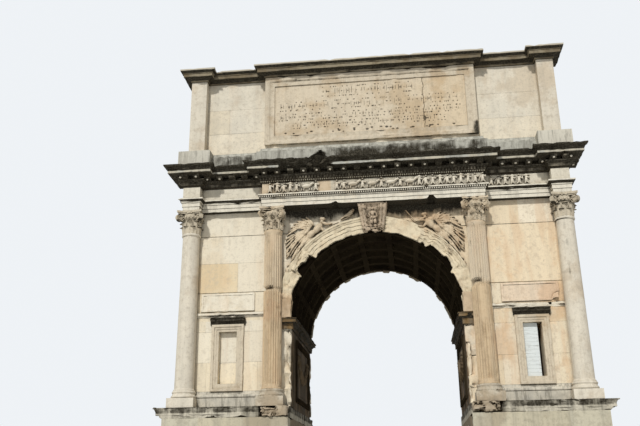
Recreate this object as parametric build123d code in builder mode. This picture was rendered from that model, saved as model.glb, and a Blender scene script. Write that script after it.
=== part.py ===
from build123d import *
import math
import os

os.makedirs("parts", exist_ok=True)

# A single-bay Roman triumphal arch in stone, with its ground line at z = 0.
# The origin is the middle of the passage at ground level; the front faces -Y.
# Every length is in millimetres.

# Plan of the body
arch_width = 5360
wall_width = 11640
wall_depth = 4750

# Heights of the courses, from the ground up
podium_base_height = 620
podium_die_height = 2710
podium_cap_height = 320
column_base_height = 520
shaft_height = 5060
capital_height = 770
architrave_height = 400
frieze_height = 400
bed_height = 250
modillion_height = 130
cornice_height = 270
attic_base_height = 710
attic_height = 2760
attic_cornice_height = 380
coping_height = 100

# Projections from the faces that carry them
podium_out = 650
podium_side_out = 700
podium_base_out = 170
podium_cap_out = 300
wall_base_out = 190
ressaut_out = 520
recess_out = 200
side_ressaut_out = 440
side_recess_out = 120
architrave_out = 130
bed_out = 150
modillion_out = 300
cornice_out = 560
attic_base_out = 270
attic_cornice_out = 350
coping_setback = 60
bedding = 60

# Columns: corner ones stand three quarters free, inner ones half free
shaft_radius = 305
shaft_top_radius = 275
corner_column_out = 185
inner_column_x = 3260
inner_column_out = 180
plinth_height = 290
plinth_half = 420
flute_count = 24
flute_width = 56
flute_end_margin = 110

# Plan of the entablature
corner_ressaut_width = 570
centre_ressaut_half = 3590
modillion_width = 190
modillion_spacing = 450

# Plan of the attic
attic_half_width = 5940
attic_half_depth = 2295
attic_pilaster_out = 300
attic_pilaster_width = 550
attic_centre_half = 3600
tablet_height = 2570
tablet_frame_width = 330
tablet_frame_out = 120

# Arch
jamb_height = 2380
impost_height = 340
impost_out = 180
stilt = 60
springer_height = 630
archivolt_width = 520
archivolt_out = 90
coffer_depth = 150
coffer_rib = 190
coffers_round = 9
coffers_deep = 5
keystone_top_half = 480
keystone_foot_half = 330
keystone_out = 450

# Window, its frame, and the chamber behind the open one
window_x = 4715
window_sill_height = 750
window_width = 570
window_height = 1620
window_frame_width = 210
window_frame_out = 60
hood_width = 1130
hood_height = 230
hood_out = 180
blind_depth = 160
front_wall_thickness = 600
chamber_width = 1300
chamber_depth = 1500
chamber_height = 2150
shutter_width = 440
shutter_thickness = 45
shutter_setback = 110

# Plain courses and panels on the wall
string_level = 2830
string_height = 140
string_out = 90
panel_height = 1960
panel_width = 3000
panel_frame_width = 170
panel_frame_out = 60
panel_foot = 240

# Levels worked out from the courses
podium_die_level = podium_base_height
podium_cap_level = podium_die_level + podium_die_height
column_level = podium_cap_level + podium_cap_height
shaft_level = column_level + column_base_height
capital_level = shaft_level + shaft_height
architrave_level = capital_level + capital_height
frieze_level = architrave_level + architrave_height
bed_level = frieze_level + frieze_height
modillion_level = bed_level + bed_height
cornice_level = modillion_level + modillion_height
attic_base_level = cornice_level + cornice_height
attic_level = attic_base_level + attic_base_height
attic_cornice_level = attic_level + attic_height
coping_level = attic_cornice_level + attic_cornice_height
impost_level = column_level + jamb_height
pier_top = impost_level + impost_height
spring_level = pier_top + stilt

# Half sizes and radii
arch_radius = arch_width / 2
wall_x = wall_width / 2
wall_y = wall_depth / 2
podium_x = wall_x + podium_side_out
podium_y = wall_y + podium_out
barrel_radius = arch_radius + coffer_depth
ring_radius = arch_radius + archivolt_width
corner_column_x = wall_x + corner_column_out
corner_column_y = wall_y + corner_column_out
inner_column_y = wall_y + inner_column_out
tablet_top = attic_cornice_level
sill_level = column_level + window_sill_height
window_z = sill_level + window_height / 2


def mirrored_outline(quarter):
    """The whole outline of a plan from its back right quarter"""
    front_right = [(x, -y) for x, y in reversed(quarter)]
    front_left = [(-x, -y) for x, y in quarter]
    back_left = [(-x, y) for x, y in reversed(quarter)]
    return quarter + front_right + front_left + back_left


def stepped_quarter(centre_half, face_y, recess_y, corner_width, side_x, side_recess_x):
    """A quarter plan that steps forward over the middle and over the corner"""
    return [
        (centre_half, face_y),
        (centre_half, recess_y),
        (side_x - corner_width, recess_y),
        (side_x - corner_width, face_y),
        (side_x, face_y),
        (side_x, face_y - corner_width),
        (side_recess_x, face_y - corner_width),
    ]


def grown(quarter, by):
    """The stepped quarter plan with every face moved outwards"""
    moved = []
    for index, (x, y) in enumerate(quarter):
        inner_side = index in (2, 3)
        moved.append((x - by if inner_side else x + by, y + by if index < 5 else y - by))
    return moved


def slab(quarter, level, height):
    """Add one course of a plan to the piece being made"""
    with BuildSketch(Plane.XY.offset(level)) as plan:
        with BuildLine():
            Polyline(*mirrored_outline(quarter), close=True)
        make_face()
    extrude(plan.sketch, amount=height)


def moulding(steps, out, height, plane):
    """A moulding's section: each step is a curve with its shares of the projection and height"""
    with BuildSketch(plane) as section:
        with BuildLine():
            here = Vector(0, 0)
            for kind, out_share, up_share in steps:
                there = Vector(here.X + out_share * out, here.Y + up_share * height)
                chord = (there - here).length
                if kind == "flat":
                    Line(here, there)
                if kind == "hollow":
                    RadiusArc(here, there, 0.75 * chord)
                if kind == "round":
                    RadiusArc(here, there, -0.75 * chord)
                here = there
            Polyline(here, (-bedding, here.Y), (-bedding, 0), (0, 0))
        make_face()
    return section.sketch


def sweep_round(quarter, level, steps, out, height):
    """Sweep a moulding round a stepped plan"""
    outline = mirrored_outline(quarter)
    start = (0, quarter[0][1])
    with BuildLine(Plane.XY.offset(level)) as path:
        Polyline(start, *outline, start)
    plane = Plane(origin=(*start, level), x_dir=(0, 1, 0), z_dir=(1, 0, 0))
    sweep(moulding(steps, out, height, plane), path=path.wires()[0], transition=Transition.RIGHT)


def sweep_three_sides(inner_x, outer_x, half_y, level, steps, out, height):
    """Sweep a moulding round the back, the outer side and the front of a right-hand pier"""
    with BuildLine(Plane.XY.offset(level)) as path:
        Polyline((inner_x, half_y), (outer_x, half_y), (outer_x, -half_y), (inner_x, -half_y))
    plane = Plane(origin=(inner_x, half_y, level), x_dir=(0, 1, 0), z_dir=(1, 0, 0))
    sweep(moulding(steps, out, height, plane), path=path.wires()[0], transition=Transition.RIGHT)


def block(x_low, x_high, y_low, y_high, z_low, z_high, mode=Mode.ADD):
    """Add or cut a squared block between two corners"""
    with BuildSketch(Plane.XY.offset(z_low)) as foot:
        with Locations(((x_low + x_high) / 2, (y_low + y_high) / 2)):
            Rectangle(x_high - x_low, y_high - y_low)
    extrude(foot.sketch, amount=z_high - z_low, mode=mode)


def barrel_cut(radius, foot):
    """Cut the arched passage of a radius, with straight legs down to a level"""
    with BuildSketch(Plane.XZ.offset(-wall_depth)) as bore:
        with Locations((0, spring_level)):
            Circle(radius)
        with Locations((0, (spring_level + foot) / 2)):
            Rectangle(2 * radius, spring_level - foot)
    extrude(bore.sketch, amount=2 * wall_depth, mode=Mode.SUBTRACT)


def finish(builder, name):
    """Name a piece and write it"""
    builder.part.label = name
    export_step(builder.part, f"parts/{name}.step")


def finish_pair(builder, name):
    """Write a right-hand piece and its left-hand twin"""
    finish(builder, f"right_{name}")
    with BuildPart() as twin:
        mirror(builder.part, about=Plane.YZ)
    finish(twin, f"left_{name}")


# Podium, one block under each pier
BASE_STEPS = [
    ("flat", 1, 0), ("flat", 0, 0.55), ("flat", -0.35, 0), ("round", 0, 0.2), ("flat", -0.15, 0),
    ("hollow", -0.5, 0.25),
]
CAP_STEPS = [
    ("round", 0.3, 0.3), ("flat", 0.35, 0), ("flat", 0, 0.35), ("flat", 0.05, 0), ("hollow", 0.3, 0.25),
    ("flat", 0, 0.1),
]

with BuildPart() as podium_base:
    block(arch_radius, podium_x, -podium_y, podium_y, 0, podium_base_height)
    sweep_three_sides(arch_radius, podium_x, podium_y, 0, BASE_STEPS, podium_base_out, podium_base_height)
finish_pair(podium_base, "podium_base")

with BuildPart() as podium_wall:
    block(arch_radius, podium_x, -podium_y, podium_y, podium_die_level, podium_cap_level)
finish_pair(podium_wall, "podium_wall")

with BuildPart() as podium_cap:
    block(arch_radius, podium_x, -podium_y, podium_y, podium_cap_level, column_level)
    sweep_three_sides(
        arch_radius, podium_x, podium_y, podium_cap_level, CAP_STEPS, podium_cap_out, podium_cap_height
    )
finish_pair(podium_cap, "podium_cap")


def cut_wall():
    """Cut away what lies inside the body of the arch"""
    block(-wall_x, wall_x, -wall_y, wall_y, 0, architrave_level, mode=Mode.SUBTRACT)


def four_corners(piece):
    """The front right piece with its mirror images at the other three places"""
    right = [piece, piece.mirror(Plane.XZ)]
    return right + [one.mirror(Plane.YZ) for one in right]


# Columns, modelled at the front right and mirrored to the other places
SHAFT_NAMES = ["front_right", "back_right", "front_left", "back_left"]


def shaft(x, y):
    """Add a tapered shaft with its foot ring and its astragal"""
    plane = Plane(origin=(x, y, shaft_level), x_dir=(1, 0, 0), z_dir=(0, -1, 0))
    ring = shaft_radius - shaft_top_radius
    neck = shaft_height - 3 * ring
    with BuildSketch(plane) as section:
        with BuildLine():
            Polyline((0, 0), (shaft_radius + ring, 0), (shaft_radius + ring, ring))
            RadiusArc((shaft_radius + ring, ring), (shaft_radius, 3 * ring), 2.4 * ring)
            Polyline((shaft_radius, 3 * ring), (shaft_top_radius, neck), (shaft_top_radius + ring / 2, neck))
            lip = shaft_top_radius + ring / 2
            RadiusArc((lip, neck), (lip, shaft_height), -2 * ring)
            Polyline((lip, shaft_height), (0, shaft_height), (0, 0))
        make_face()
    revolve(section.sketch, axis=Axis((x, y, shaft_level), (0, 0, 1)))


def turned(piece, x, y, angles):
    """Copies of a piece turned about a column's axis"""
    return [piece.rotate(Axis((x, y, 0), (0, 0, 1)), angle) for angle in angles]


with BuildPart() as flute:
    low = Vector(inner_column_x + shaft_radius, -inner_column_y, shaft_level + flute_end_margin)
    high = Vector(inner_column_x + shaft_top_radius, -inner_column_y, capital_level - flute_end_margin)
    with BuildSketch(Plane(origin=low, z_dir=high - low)) as hollow:
        Circle(flute_width / 2)
    extrude(hollow.sketch, amount=(high - low).length)
    with Locations(low, high):
        Sphere(flute_width / 2)

with BuildPart() as corner_shaft:
    shaft(corner_column_x, -corner_column_y)
    cut_wall()

for name, piece in zip(SHAFT_NAMES, four_corners(corner_shaft.part)):
    with BuildPart() as placed_shaft:
        add(piece)
    finish(placed_shaft, f"{name}_corner_shaft")

with BuildPart() as fluted_shaft:
    shaft(inner_column_x, -inner_column_y)
    cut_wall()
    flute_angles = [360 * (number + 0.5) / flute_count for number in range(flute_count)]
    behind_wall = inner_column_out / shaft_radius
    showing = [angle for angle in flute_angles if math.sin(math.radians(angle)) < behind_wall]
    add(turned(flute.part, inner_column_x, -inner_column_y, showing), mode=Mode.SUBTRACT)

for name, piece in zip(SHAFT_NAMES, four_corners(fluted_shaft.part)):
    with BuildPart() as placed_shaft:
        add(piece)
    finish(placed_shaft, f"{name}_fluted_shaft")


def column_base(x, y):
    """Add a square plinth with two rounds and the hollow between them"""
    half = plinth_half
    block(x - half, x + half, y - half, y + half, column_level, column_level + plinth_height)
    plane = Plane(origin=(x, y, column_level + plinth_height), x_dir=(1, 0, 0), z_dir=(0, -1, 0))
    rise = column_base_height - plinth_height
    seat = shaft_radius + shaft_radius - shaft_top_radius
    wide = plinth_half - rise / 8
    with BuildSketch(plane) as section:
        with BuildLine():
            Polyline((0, 0), (wide - 0.1 * rise, 0))
            RadiusArc((wide - 0.1 * rise, 0), (wide - 0.1 * rise, 0.42 * rise), -0.24 * rise)
            Line((wide - 0.1 * rise, 0.42 * rise), (seat + 0.1 * rise, 0.5 * rise))
            RadiusArc((seat + 0.1 * rise, 0.5 * rise), (seat + 0.1 * rise, 0.7 * rise), 0.16 * rise)
            RadiusArc((seat + 0.1 * rise, 0.7 * rise), (seat, rise), -0.18 * rise)
            Polyline((seat, rise), (0, rise), (0, 0))
        make_face()
    revolve(section.sketch, axis=Axis((x, y, column_level), (0, 0, 1)))


with BuildPart() as corner_base:
    column_base(corner_column_x, -corner_column_y)
    cut_wall()

with BuildPart() as inner_base:
    column_base(inner_column_x, -inner_column_y)
    cut_wall()

with BuildPart() as corner_column_bases:
    add(four_corners(corner_base.part))
finish(corner_column_bases, "corner_column_bases")

with BuildPart() as inner_column_bases:
    add(four_corners(inner_base.part))
finish(inner_column_bases, "inner_column_bases")

# Composite capitals: a bell with two rows of leaves, corner scrolls and a hollow-sided abacus
abacus_half = plinth_half - 10
abacus_height = capital_height * 0.14
bell_height = capital_height - abacus_height


def leaf(x, y, height, width, reach):
    """One broad leaf that stands against the bell and curls out at its tip"""
    near = shaft_top_radius * 0.85
    face = shaft_top_radius * 1.08
    with BuildPart() as tongue:
        with BuildSketch(Plane(origin=(x, y, capital_level), x_dir=(1, 0, 0), z_dir=(0, -1, 0))) as section:
            with BuildLine():
                Polyline((near, 0), (face, 0), (face + 0.1 * reach, 0.62 * height))
                RadiusArc((face + 0.1 * reach, 0.62 * height), (face + reach, 0.72 * height), -reach)
                Line((face + reach, 0.72 * height), (face + 0.95 * reach, 0.9 * height))
                RadiusArc((face + 0.95 * reach, 0.9 * height), (near, height), 2 * height)
                Line((near, height), (near, 0))
            make_face()
        extrude(section.sketch, amount=width / 2, both=True)
    return tongue.part


def volute(x, y):
    """One corner scroll under the abacus, with the arm that carries it"""
    radius = 0.14 * capital_height
    centre = Vector(x + abacus_half * 1.12, y, capital_level + bell_height - radius)
    plane = Plane(origin=centre, x_dir=(1, 0, 0), z_dir=(0, -1, 0))
    with BuildPart() as scroll:
        with BuildSketch(plane) as side:
            Circle(radius)
            with Locations((-abacus_half / 2, radius * 0.65)):
                Rectangle(abacus_half, radius * 0.7)
        extrude(side.sketch, amount=radius * 0.5, both=True)
    return scroll.part


def capital(x, y):
    """Add one whole capital at a column's axis"""
    plane = Plane(origin=(x, y, capital_level), x_dir=(1, 0, 0), z_dir=(0, -1, 0))
    lip = shaft_top_radius * 1.25
    with BuildSketch(plane) as section:
        with BuildLine():
            Polyline((0, 0), (shaft_top_radius * 0.95, 0), (shaft_top_radius * 0.95, 0.5 * bell_height))
            RadiusArc((shaft_top_radius * 0.95, 0.5 * bell_height), (lip, 0.8 * bell_height), 2 * bell_height)
            RadiusArc((lip, 0.8 * bell_height), (lip, bell_height), -0.12 * bell_height)
            Polyline((lip, bell_height), (0, bell_height), (0, 0))
        make_face()
    revolve(section.sketch, axis=Axis((x, y, capital_level), (0, 0, 1)))
    lower_leaf = leaf(x, y, 0.42 * bell_height, 0.6 * shaft_top_radius, 0.22 * shaft_top_radius)
    upper_leaf = leaf(x, y, 0.74 * bell_height, 0.55 * shaft_top_radius, 0.3 * shaft_top_radius)
    lower_row = turned(lower_leaf, x, y, [45 * number for number in range(8)])
    upper_row = turned(upper_leaf, x, y, [45 * (number + 0.5) for number in range(8)])
    scrolls = turned(volute(x, y), x, y, [45 + 90 * number for number in range(4)])
    hollow = 0.16 * abacus_half
    horn = 0.1 * abacus_half
    with BuildSketch(Plane.XY.offset(capital_level + bell_height)) as abacus:
        with Locations((x, y)):
            Rectangle(2 * abacus_half, 2 * abacus_half)
        radius = ((abacus_half - horn) ** 2 + hollow ** 2) / (2 * hollow)
        for side in range(4):
            turn = math.pi * side / 2
            far = abacus_half - hollow + radius
            with Locations((x + far * math.cos(turn), y + far * math.sin(turn))):
                Circle(radius, mode=Mode.SUBTRACT)
    extrude(abacus.sketch, amount=abacus_height)
    add(lower_row + upper_row + scrolls)


with BuildPart() as corner_capital:
    capital(corner_column_x, -corner_column_y)
    cut_wall()

with BuildPart() as inner_capital:
    capital(inner_column_x, -inner_column_y)
    cut_wall()

with BuildPart() as corner_capitals:
    add(four_corners(corner_capital.part))
finish(corner_capitals, "corner_capitals")

with BuildPart() as inner_capitals:
    add(four_corners(inner_capital.part))
finish(inner_capitals, "inner_capitals")

# Piers, with blind windows and, at the front right, an open one with a chamber behind it
recess_y = wall_y - blind_depth
chamber_front = wall_y - front_wall_thickness


def window_cut(side, y_low, y_high):
    """Cut the window's rectangle through part of a pier"""
    half = window_width / 2
    centre = side * window_x
    top = sill_level + window_height
    block(centre - half, centre + half, y_low, y_high, sill_level, top, mode=Mode.SUBTRACT)


with BuildPart() as left_pier_wall:
    block(-wall_x, -arch_radius, -wall_y, wall_y, column_level, pier_top)
    window_cut(-1, -wall_y, -recess_y)
    window_cut(-1, recess_y, wall_y)
finish(left_pier_wall, "left_pier_wall")

with BuildPart() as right_pier_wall:
    block(arch_radius, wall_x, -wall_y, wall_y, column_level, pier_top)
    window_cut(1, -wall_y, -chamber_front)
    window_cut(1, recess_y, wall_y)
    half_width = chamber_width / 2
    chamber_floor = column_level + window_sill_height / 2
    block(
        window_x - half_width, window_x + half_width, -chamber_front, chamber_depth - chamber_front,
        chamber_floor, chamber_floor + chamber_height, mode=Mode.SUBTRACT,
    )
finish(right_pier_wall, "right_pier_wall")

with BuildPart() as spandrel_wall:
    block(0, wall_x, -wall_y, wall_y, pier_top, architrave_level)
    barrel_cut(ring_radius, pier_top)
finish_pair(spandrel_wall, "spandrel_wall")

# Courses that stop against the columns
WALL_BASE_STEPS = [
    ("flat", 1, 0), ("flat", 0, 0.58), ("flat", -0.2, 0), ("round", 0, 0.2), ("flat", -0.2, 0),
    ("hollow", -0.6, 0.22),
]
STRING_STEPS = [("flat", 0.2, 0), ("hollow", 0.5, 0.5), ("flat", 0.3, 0), ("flat", 0, 0.5)]

with BuildPart() as wall_base:
    sweep_three_sides(
        inner_column_x, wall_x, wall_y, column_level, WALL_BASE_STEPS, wall_base_out, column_base_height
    )
    cut_wall()
    add(corner_column_bases.part, mode=Mode.SUBTRACT)
    add(inner_column_bases.part, mode=Mode.SUBTRACT)
finish_pair(wall_base, "wall_base")

with BuildPart() as string_course:
    sweep_three_sides(
        inner_column_x, wall_x, wall_y, column_level + string_level, STRING_STEPS, string_out, string_height
    )
    cut_wall()
    for piece in four_corners(corner_shaft.part) + four_corners(fluted_shaft.part):
        add(piece, mode=Mode.SUBTRACT)
with BuildPart() as string_courses:
    add(string_course.part)
    mirror(string_course.part, about=Plane.YZ)
finish(string_courses, "string_courses")

# Imposts, which turn from the passage on to each face of the pier
with BuildPart() as impost:
    reach = arch_radius + archivolt_width
    with BuildLine(Plane.XY.offset(impost_level)) as impost_path:
        Polyline((reach, wall_y), (arch_radius, wall_y), (arch_radius, -wall_y), (reach, -wall_y))
    impost_plane = Plane(origin=(reach, wall_y, impost_level), x_dir=(0, 1, 0), z_dir=(1, 0, 0))
    impost_steps = [
        ("flat", 0.25, 0), ("flat", 0, 0.35), ("hollow", 0.4, 0.3), ("flat", 0.2, 0), ("flat", 0, 0.25),
        ("round", 0.15, 0.1),
    ]
    section = moulding(impost_steps, impost_out, impost_height, impost_plane)
    sweep(section, path=impost_path.wires()[0], transition=Transition.RIGHT)
    block(arch_radius, wall_x, -wall_y, wall_y, impost_level, pier_top, mode=Mode.SUBTRACT)
    for piece in four_corners(fluted_shaft.part):
        add(piece, mode=Mode.SUBTRACT)
finish_pair(impost, "impost")

# Arch ring, its coffers and the faced rings at each end
with BuildPart() as vault:
    with BuildSketch(Plane.XZ.offset(-wall_y)) as ring:
        with Locations((0, spring_level)):
            Circle(ring_radius)
        with Locations((0, (spring_level + pier_top) / 2)):
            Rectangle(2 * ring_radius, stilt)
        with Locations((0, spring_level)):
            Circle(barrel_radius, mode=Mode.SUBTRACT)
        with Locations((0, (spring_level + pier_top) / 2)):
            Rectangle(2 * barrel_radius, stilt, mode=Mode.SUBTRACT)
        with Locations((0, pier_top - ring_radius)):
            Rectangle(2 * ring_radius, 2 * ring_radius, mode=Mode.SUBTRACT)
    extrude(ring.sketch, amount=wall_depth)
finish(vault, "vault")

with BuildPart() as vault_coffers:
    with BuildSketch(Plane.XZ.offset(-wall_y)) as lining:
        with Locations((0, spring_level)):
            Circle(barrel_radius)
            Circle(arch_radius, mode=Mode.SUBTRACT)
        with Locations((0, spring_level - barrel_radius / 2)):
            Rectangle(2 * barrel_radius, barrel_radius, mode=Mode.SUBTRACT)
        for side in (-1, 1):
            with Locations((side * (arch_radius + coffer_depth / 2), (spring_level + pier_top) / 2)):
                Rectangle(coffer_depth, stilt)
    extrude(lining.sketch, amount=wall_depth)
    coffer_pitch = (wall_depth - coffer_rib) / coffers_deep
    coffer_turn = math.pi / coffers_round
    coffer_arc = arch_radius * coffer_turn - coffer_rib
    for number in range(coffers_round):
        angle = coffer_turn * (number + 0.5)
        outwards = Vector(math.cos(angle), 0, math.sin(angle))
        start = Vector(0, 0, spring_level) + outwards * (arch_radius * 0.9)
        with BuildSketch(Plane(origin=start, x_dir=(0, 1, 0), z_dir=outwards)) as pockets:
            with GridLocations(coffer_pitch, coffer_pitch, coffers_deep, 1):
                Rectangle(coffer_pitch - coffer_rib, coffer_arc)
        extrude(pockets.sketch, amount=arch_radius * 0.2, mode=Mode.SUBTRACT)
finish(vault_coffers, "vault_coffers")

keystone_foot = spring_level + arch_radius
keystone_rise = architrave_level - keystone_foot
ring_sag = arch_radius - math.sqrt(arch_radius ** 2 - keystone_foot_half ** 2)


def keystone_wedge():
    """The keystone's tapered face, drawn on the front of the body"""
    with BuildSketch(Plane.XZ.offset(wall_y)) as wedge:
        with BuildLine():
            foot = keystone_foot - ring_sag
            Polyline(
                (-keystone_foot_half, foot), (keystone_foot_half, foot),
                (keystone_top_half, architrave_level), (-keystone_top_half, architrave_level), close=True,
            )
        make_face()
    return wedge.sketch


with BuildPart() as front_archivolt:
    step = archivolt_width / 6
    plane = Plane(origin=(0, -wall_y, spring_level), x_dir=(1, 0, 0), z_dir=(0, 0, -1))
    with BuildSketch(plane) as section:
        with BuildLine():
            edge = arch_radius
            low_out, middle_out, lip_out = archivolt_out * 0.6, archivolt_out * 0.8, archivolt_out * 1.6
            Polyline(
                (edge, 0), (edge, low_out), (edge + 1.6 * step, low_out), (edge + 1.6 * step, middle_out),
                (edge + 3.4 * step, middle_out), (edge + 3.4 * step, archivolt_out),
                (edge + 4.4 * step, archivolt_out),
            )
            RadiusArc((edge + 4.4 * step, archivolt_out), (edge + 5.3 * step, lip_out), -step * 1.2)
            Polyline((edge + 5.3 * step, lip_out), (ring_radius, lip_out), (ring_radius, 0), (edge, 0))
        make_face()
    revolve(section.sketch, axis=Axis((0, 0, spring_level), (0, -1, 0)), revolution_arc=180)
    springer_top = pier_top + springer_height
    block(-wall_x, wall_x, -wall_depth, -wall_y, pier_top - stilt, springer_top, mode=Mode.SUBTRACT)
    for side in (-1, 1):
        with BuildSketch(Plane.XZ.offset(wall_y)) as springer:
            with Locations((side * (arch_radius + ring_radius) / 2, (pier_top + springer_top) / 2)):
                Rectangle(archivolt_width, springer_top - pier_top)
            with Locations((0, spring_level)):
                Circle(arch_radius, mode=Mode.SUBTRACT)
        extrude(springer.sketch, amount=archivolt_out * 0.8)
    extrude(keystone_wedge(), amount=wall_depth, mode=Mode.SUBTRACT)
    for piece in four_corners(fluted_shaft.part):
        add(piece, mode=Mode.SUBTRACT)
finish(front_archivolt, "front_archivolt")

with BuildPart() as back_archivolt:
    mirror(front_archivolt.part, about=Plane.XZ)
finish(back_archivolt, "back_archivolt")

with BuildPart() as keystone:
    side_plane = Plane(origin=(0, -wall_y, keystone_foot), x_dir=(0, -1, 0), z_dir=(-1, 0, 0))
    with BuildSketch(side_plane) as console:
        with BuildLine():
            toe = Vector(keystone_out * 0.35, 0)
            waist = Vector(keystone_out * 0.45, 0.3 * keystone_rise)
            chest = Vector(keystone_out * 0.85, 0.75 * keystone_rise)
            crown = Vector(keystone_out, keystone_rise)
            Line((0, 0), toe)
            RadiusArc(toe, waist, -0.4 * keystone_rise)
            RadiusArc(waist, chest, 0.9 * keystone_rise)
            RadiusArc(chest, crown, -0.3 * keystone_rise)
            Polyline(crown, (0, keystone_rise), (0, 0))
        make_face()
    extrude(console.sketch, amount=keystone_top_half, both=True)
    extrude(keystone_wedge(), amount=keystone_out * 2, mode=Mode.INTERSECT)
with BuildPart() as keystones:
    add(keystone.part)
    mirror(keystone.part, about=Plane.XZ)
finish(keystones, "keystones")

# Entablature, stepping forward over the corner columns and over the middle
body_plan = stepped_quarter(
    centre_ressaut_half, wall_y + ressaut_out, wall_y + recess_out, corner_ressaut_width,
    wall_x + side_ressaut_out, wall_x + side_recess_out,
)
ARCHITRAVE_STEPS = [
    ("flat", 0, 0.3), ("flat", 0.15, 0), ("flat", 0, 0.32), ("flat", 0.15, 0), ("hollow", 0.55, 0.26),
    ("flat", 0.15, 0), ("flat", 0, 0.12),
]
BED_STEPS = [
    ("hollow", 0.25, 0.25), ("flat", 0.25, 0), ("flat", 0, 0.4), ("flat", 0.1, 0), ("round", 0.4, 0.35),
]
CORNICE_STEPS = [
    ("flat", 0.78, 0), ("flat", 0, 0.42), ("flat", 0.04, 0), ("flat", 0, 0.08), ("hollow", 0.08, 0.2),
    ("round", 0.1, 0.2), ("flat", 0, 0.1),
]

with BuildPart() as architrave:
    slab(body_plan, architrave_level, architrave_height)
    sweep_round(body_plan, architrave_level, ARCHITRAVE_STEPS, architrave_out, architrave_height)
finish(architrave, "architrave")

with BuildPart() as frieze:
    slab(body_plan, frieze_level, frieze_height)
finish(frieze, "frieze")

with BuildPart() as cornice_bed:
    slab(body_plan, bed_level, bed_height)
    sweep_round(body_plan, bed_level, BED_STEPS, bed_out, bed_height)
    slab(body_plan, modillion_level, modillion_height)
finish(cornice_bed, "cornice_bed")

with BuildPart() as cornice:
    slab(body_plan, cornice_level, cornice_height)
    sweep_round(body_plan, cornice_level, CORNICE_STEPS, cornice_out, cornice_height)
finish(cornice, "cornice")


with BuildPart() as modillion:
    side_plane = Plane(origin=(0, -modillion_width / 2, modillion_level), x_dir=(1, 0, 0), z_dir=(0, -1, 0))
    with BuildSketch(side_plane) as tongue:
        with BuildLine():
            Polyline(
                (0, 0), (0, modillion_height), (modillion_out, modillion_height),
                (modillion_out, 0.45 * modillion_height),
            )
            RadiusArc((modillion_out, 0.45 * modillion_height), (0, 0), 3 * modillion_out)
        make_face()
    extrude(tongue.sketch, amount=-modillion_width)


def run_places(length, open_ends):
    """Distances of the brackets along a straight run of the cornice"""
    if open_ends:
        gaps = round((length - modillion_width) / modillion_spacing)
        pitch = (length - modillion_width) / gaps
        return [modillion_width / 2 + pitch * number for number in range(gaps + 1)]
    count = round(length / modillion_spacing)
    return [length * (number + 0.5) / count for number in range(count)]


modillion_places = []
corners = [Vector(x, y, 0) for x, y in mirrored_outline(body_plan)]
for index, start in enumerate(corners):
    run = corners[(index + 1) % len(corners)] - start
    if run.length < modillion_spacing:
        continue
    along = run.normalized()
    into = (start - corners[index - 1]).normalized()
    open_ends = into.X * along.Y - into.Y * along.X < 0
    facing = math.degrees(math.atan2(along.X, -along.Y))
    for distance in run_places(run.length, open_ends):
        place = start + along * distance
        modillion_places.append(Location((place.X, place.Y, 0), (0, 0, facing)))

with BuildPart() as modillions:
    add([modillion.part.moved(place) for place in modillion_places])
finish(modillions, "modillions")

# Attic
attic_face_y = attic_half_depth + attic_pilaster_out
attic_side_x = attic_half_width + attic_pilaster_out
tablet_face_y = attic_face_y - tablet_frame_out
attic_plan = stepped_quarter(
    attic_centre_half, attic_face_y, attic_half_depth, attic_pilaster_width, attic_side_x, attic_half_width
)
ATTIC_BASE_STEPS = [
    ("flat", 1, 0), ("flat", 0, 0.72), ("flat", -0.15, 0), ("flat", 0, 0.08), ("hollow", -0.45, 0.2),
]
ATTIC_CORNICE_STEPS = [
    ("flat", 0.1, 0), ("flat", 0, 0.12), ("hollow", 0.25, 0.18), ("flat", 0.35, 0), ("flat", 0, 0.3),
    ("flat", 0.05, 0), ("hollow", 0.12, 0.15), ("round", 0.13, 0.15), ("flat", 0, 0.1),
]

with BuildPart() as attic_base:
    slab(attic_plan, attic_base_level, attic_base_height)
    sweep_round(attic_plan, attic_base_level, ATTIC_BASE_STEPS, attic_base_out, attic_base_height)
finish(attic_base, "attic_base")



def attic_block(half_width, half_depth, mode=Mode.ADD):
    """Add or cut a block over the whole height of the attic wall"""
    block(-half_width, half_width, -half_depth, half_depth, attic_level, attic_cornice_level, mode=mode)


with BuildPart() as attic_wall:
    attic_block(attic_half_width, attic_half_depth)
    attic_block(attic_centre_half, tablet_face_y)
finish(attic_wall, "attic_wall")

with BuildPart() as attic_pilasters:
    for side in (-1, 1):
        for face in (-1, 1):
            near_x = side * (attic_side_x - attic_pilaster_width)
            near_y = face * (attic_face_y - attic_pilaster_width)
            far_x = side * attic_side_x
            far_y = face * attic_face_y
            block(
                min(near_x, far_x), max(near_x, far_x), min(near_y, far_y), max(near_y, far_y),
                attic_level, attic_cornice_level,
            )
    attic_block(attic_half_width, attic_half_depth, Mode.SUBTRACT)
finish(attic_pilasters, "attic_pilasters")

with BuildPart() as attic_cornice:
    slab(attic_plan, attic_cornice_level, attic_cornice_height)
    sweep_round(
        attic_plan, attic_cornice_level, ATTIC_CORNICE_STEPS, attic_cornice_out, attic_cornice_height
    )
finish(attic_cornice, "attic_cornice")

with BuildPart() as attic_coping:
    slab(grown(attic_plan, -coping_setback), coping_level, coping_height)
finish(attic_coping, "attic_coping")


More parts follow.
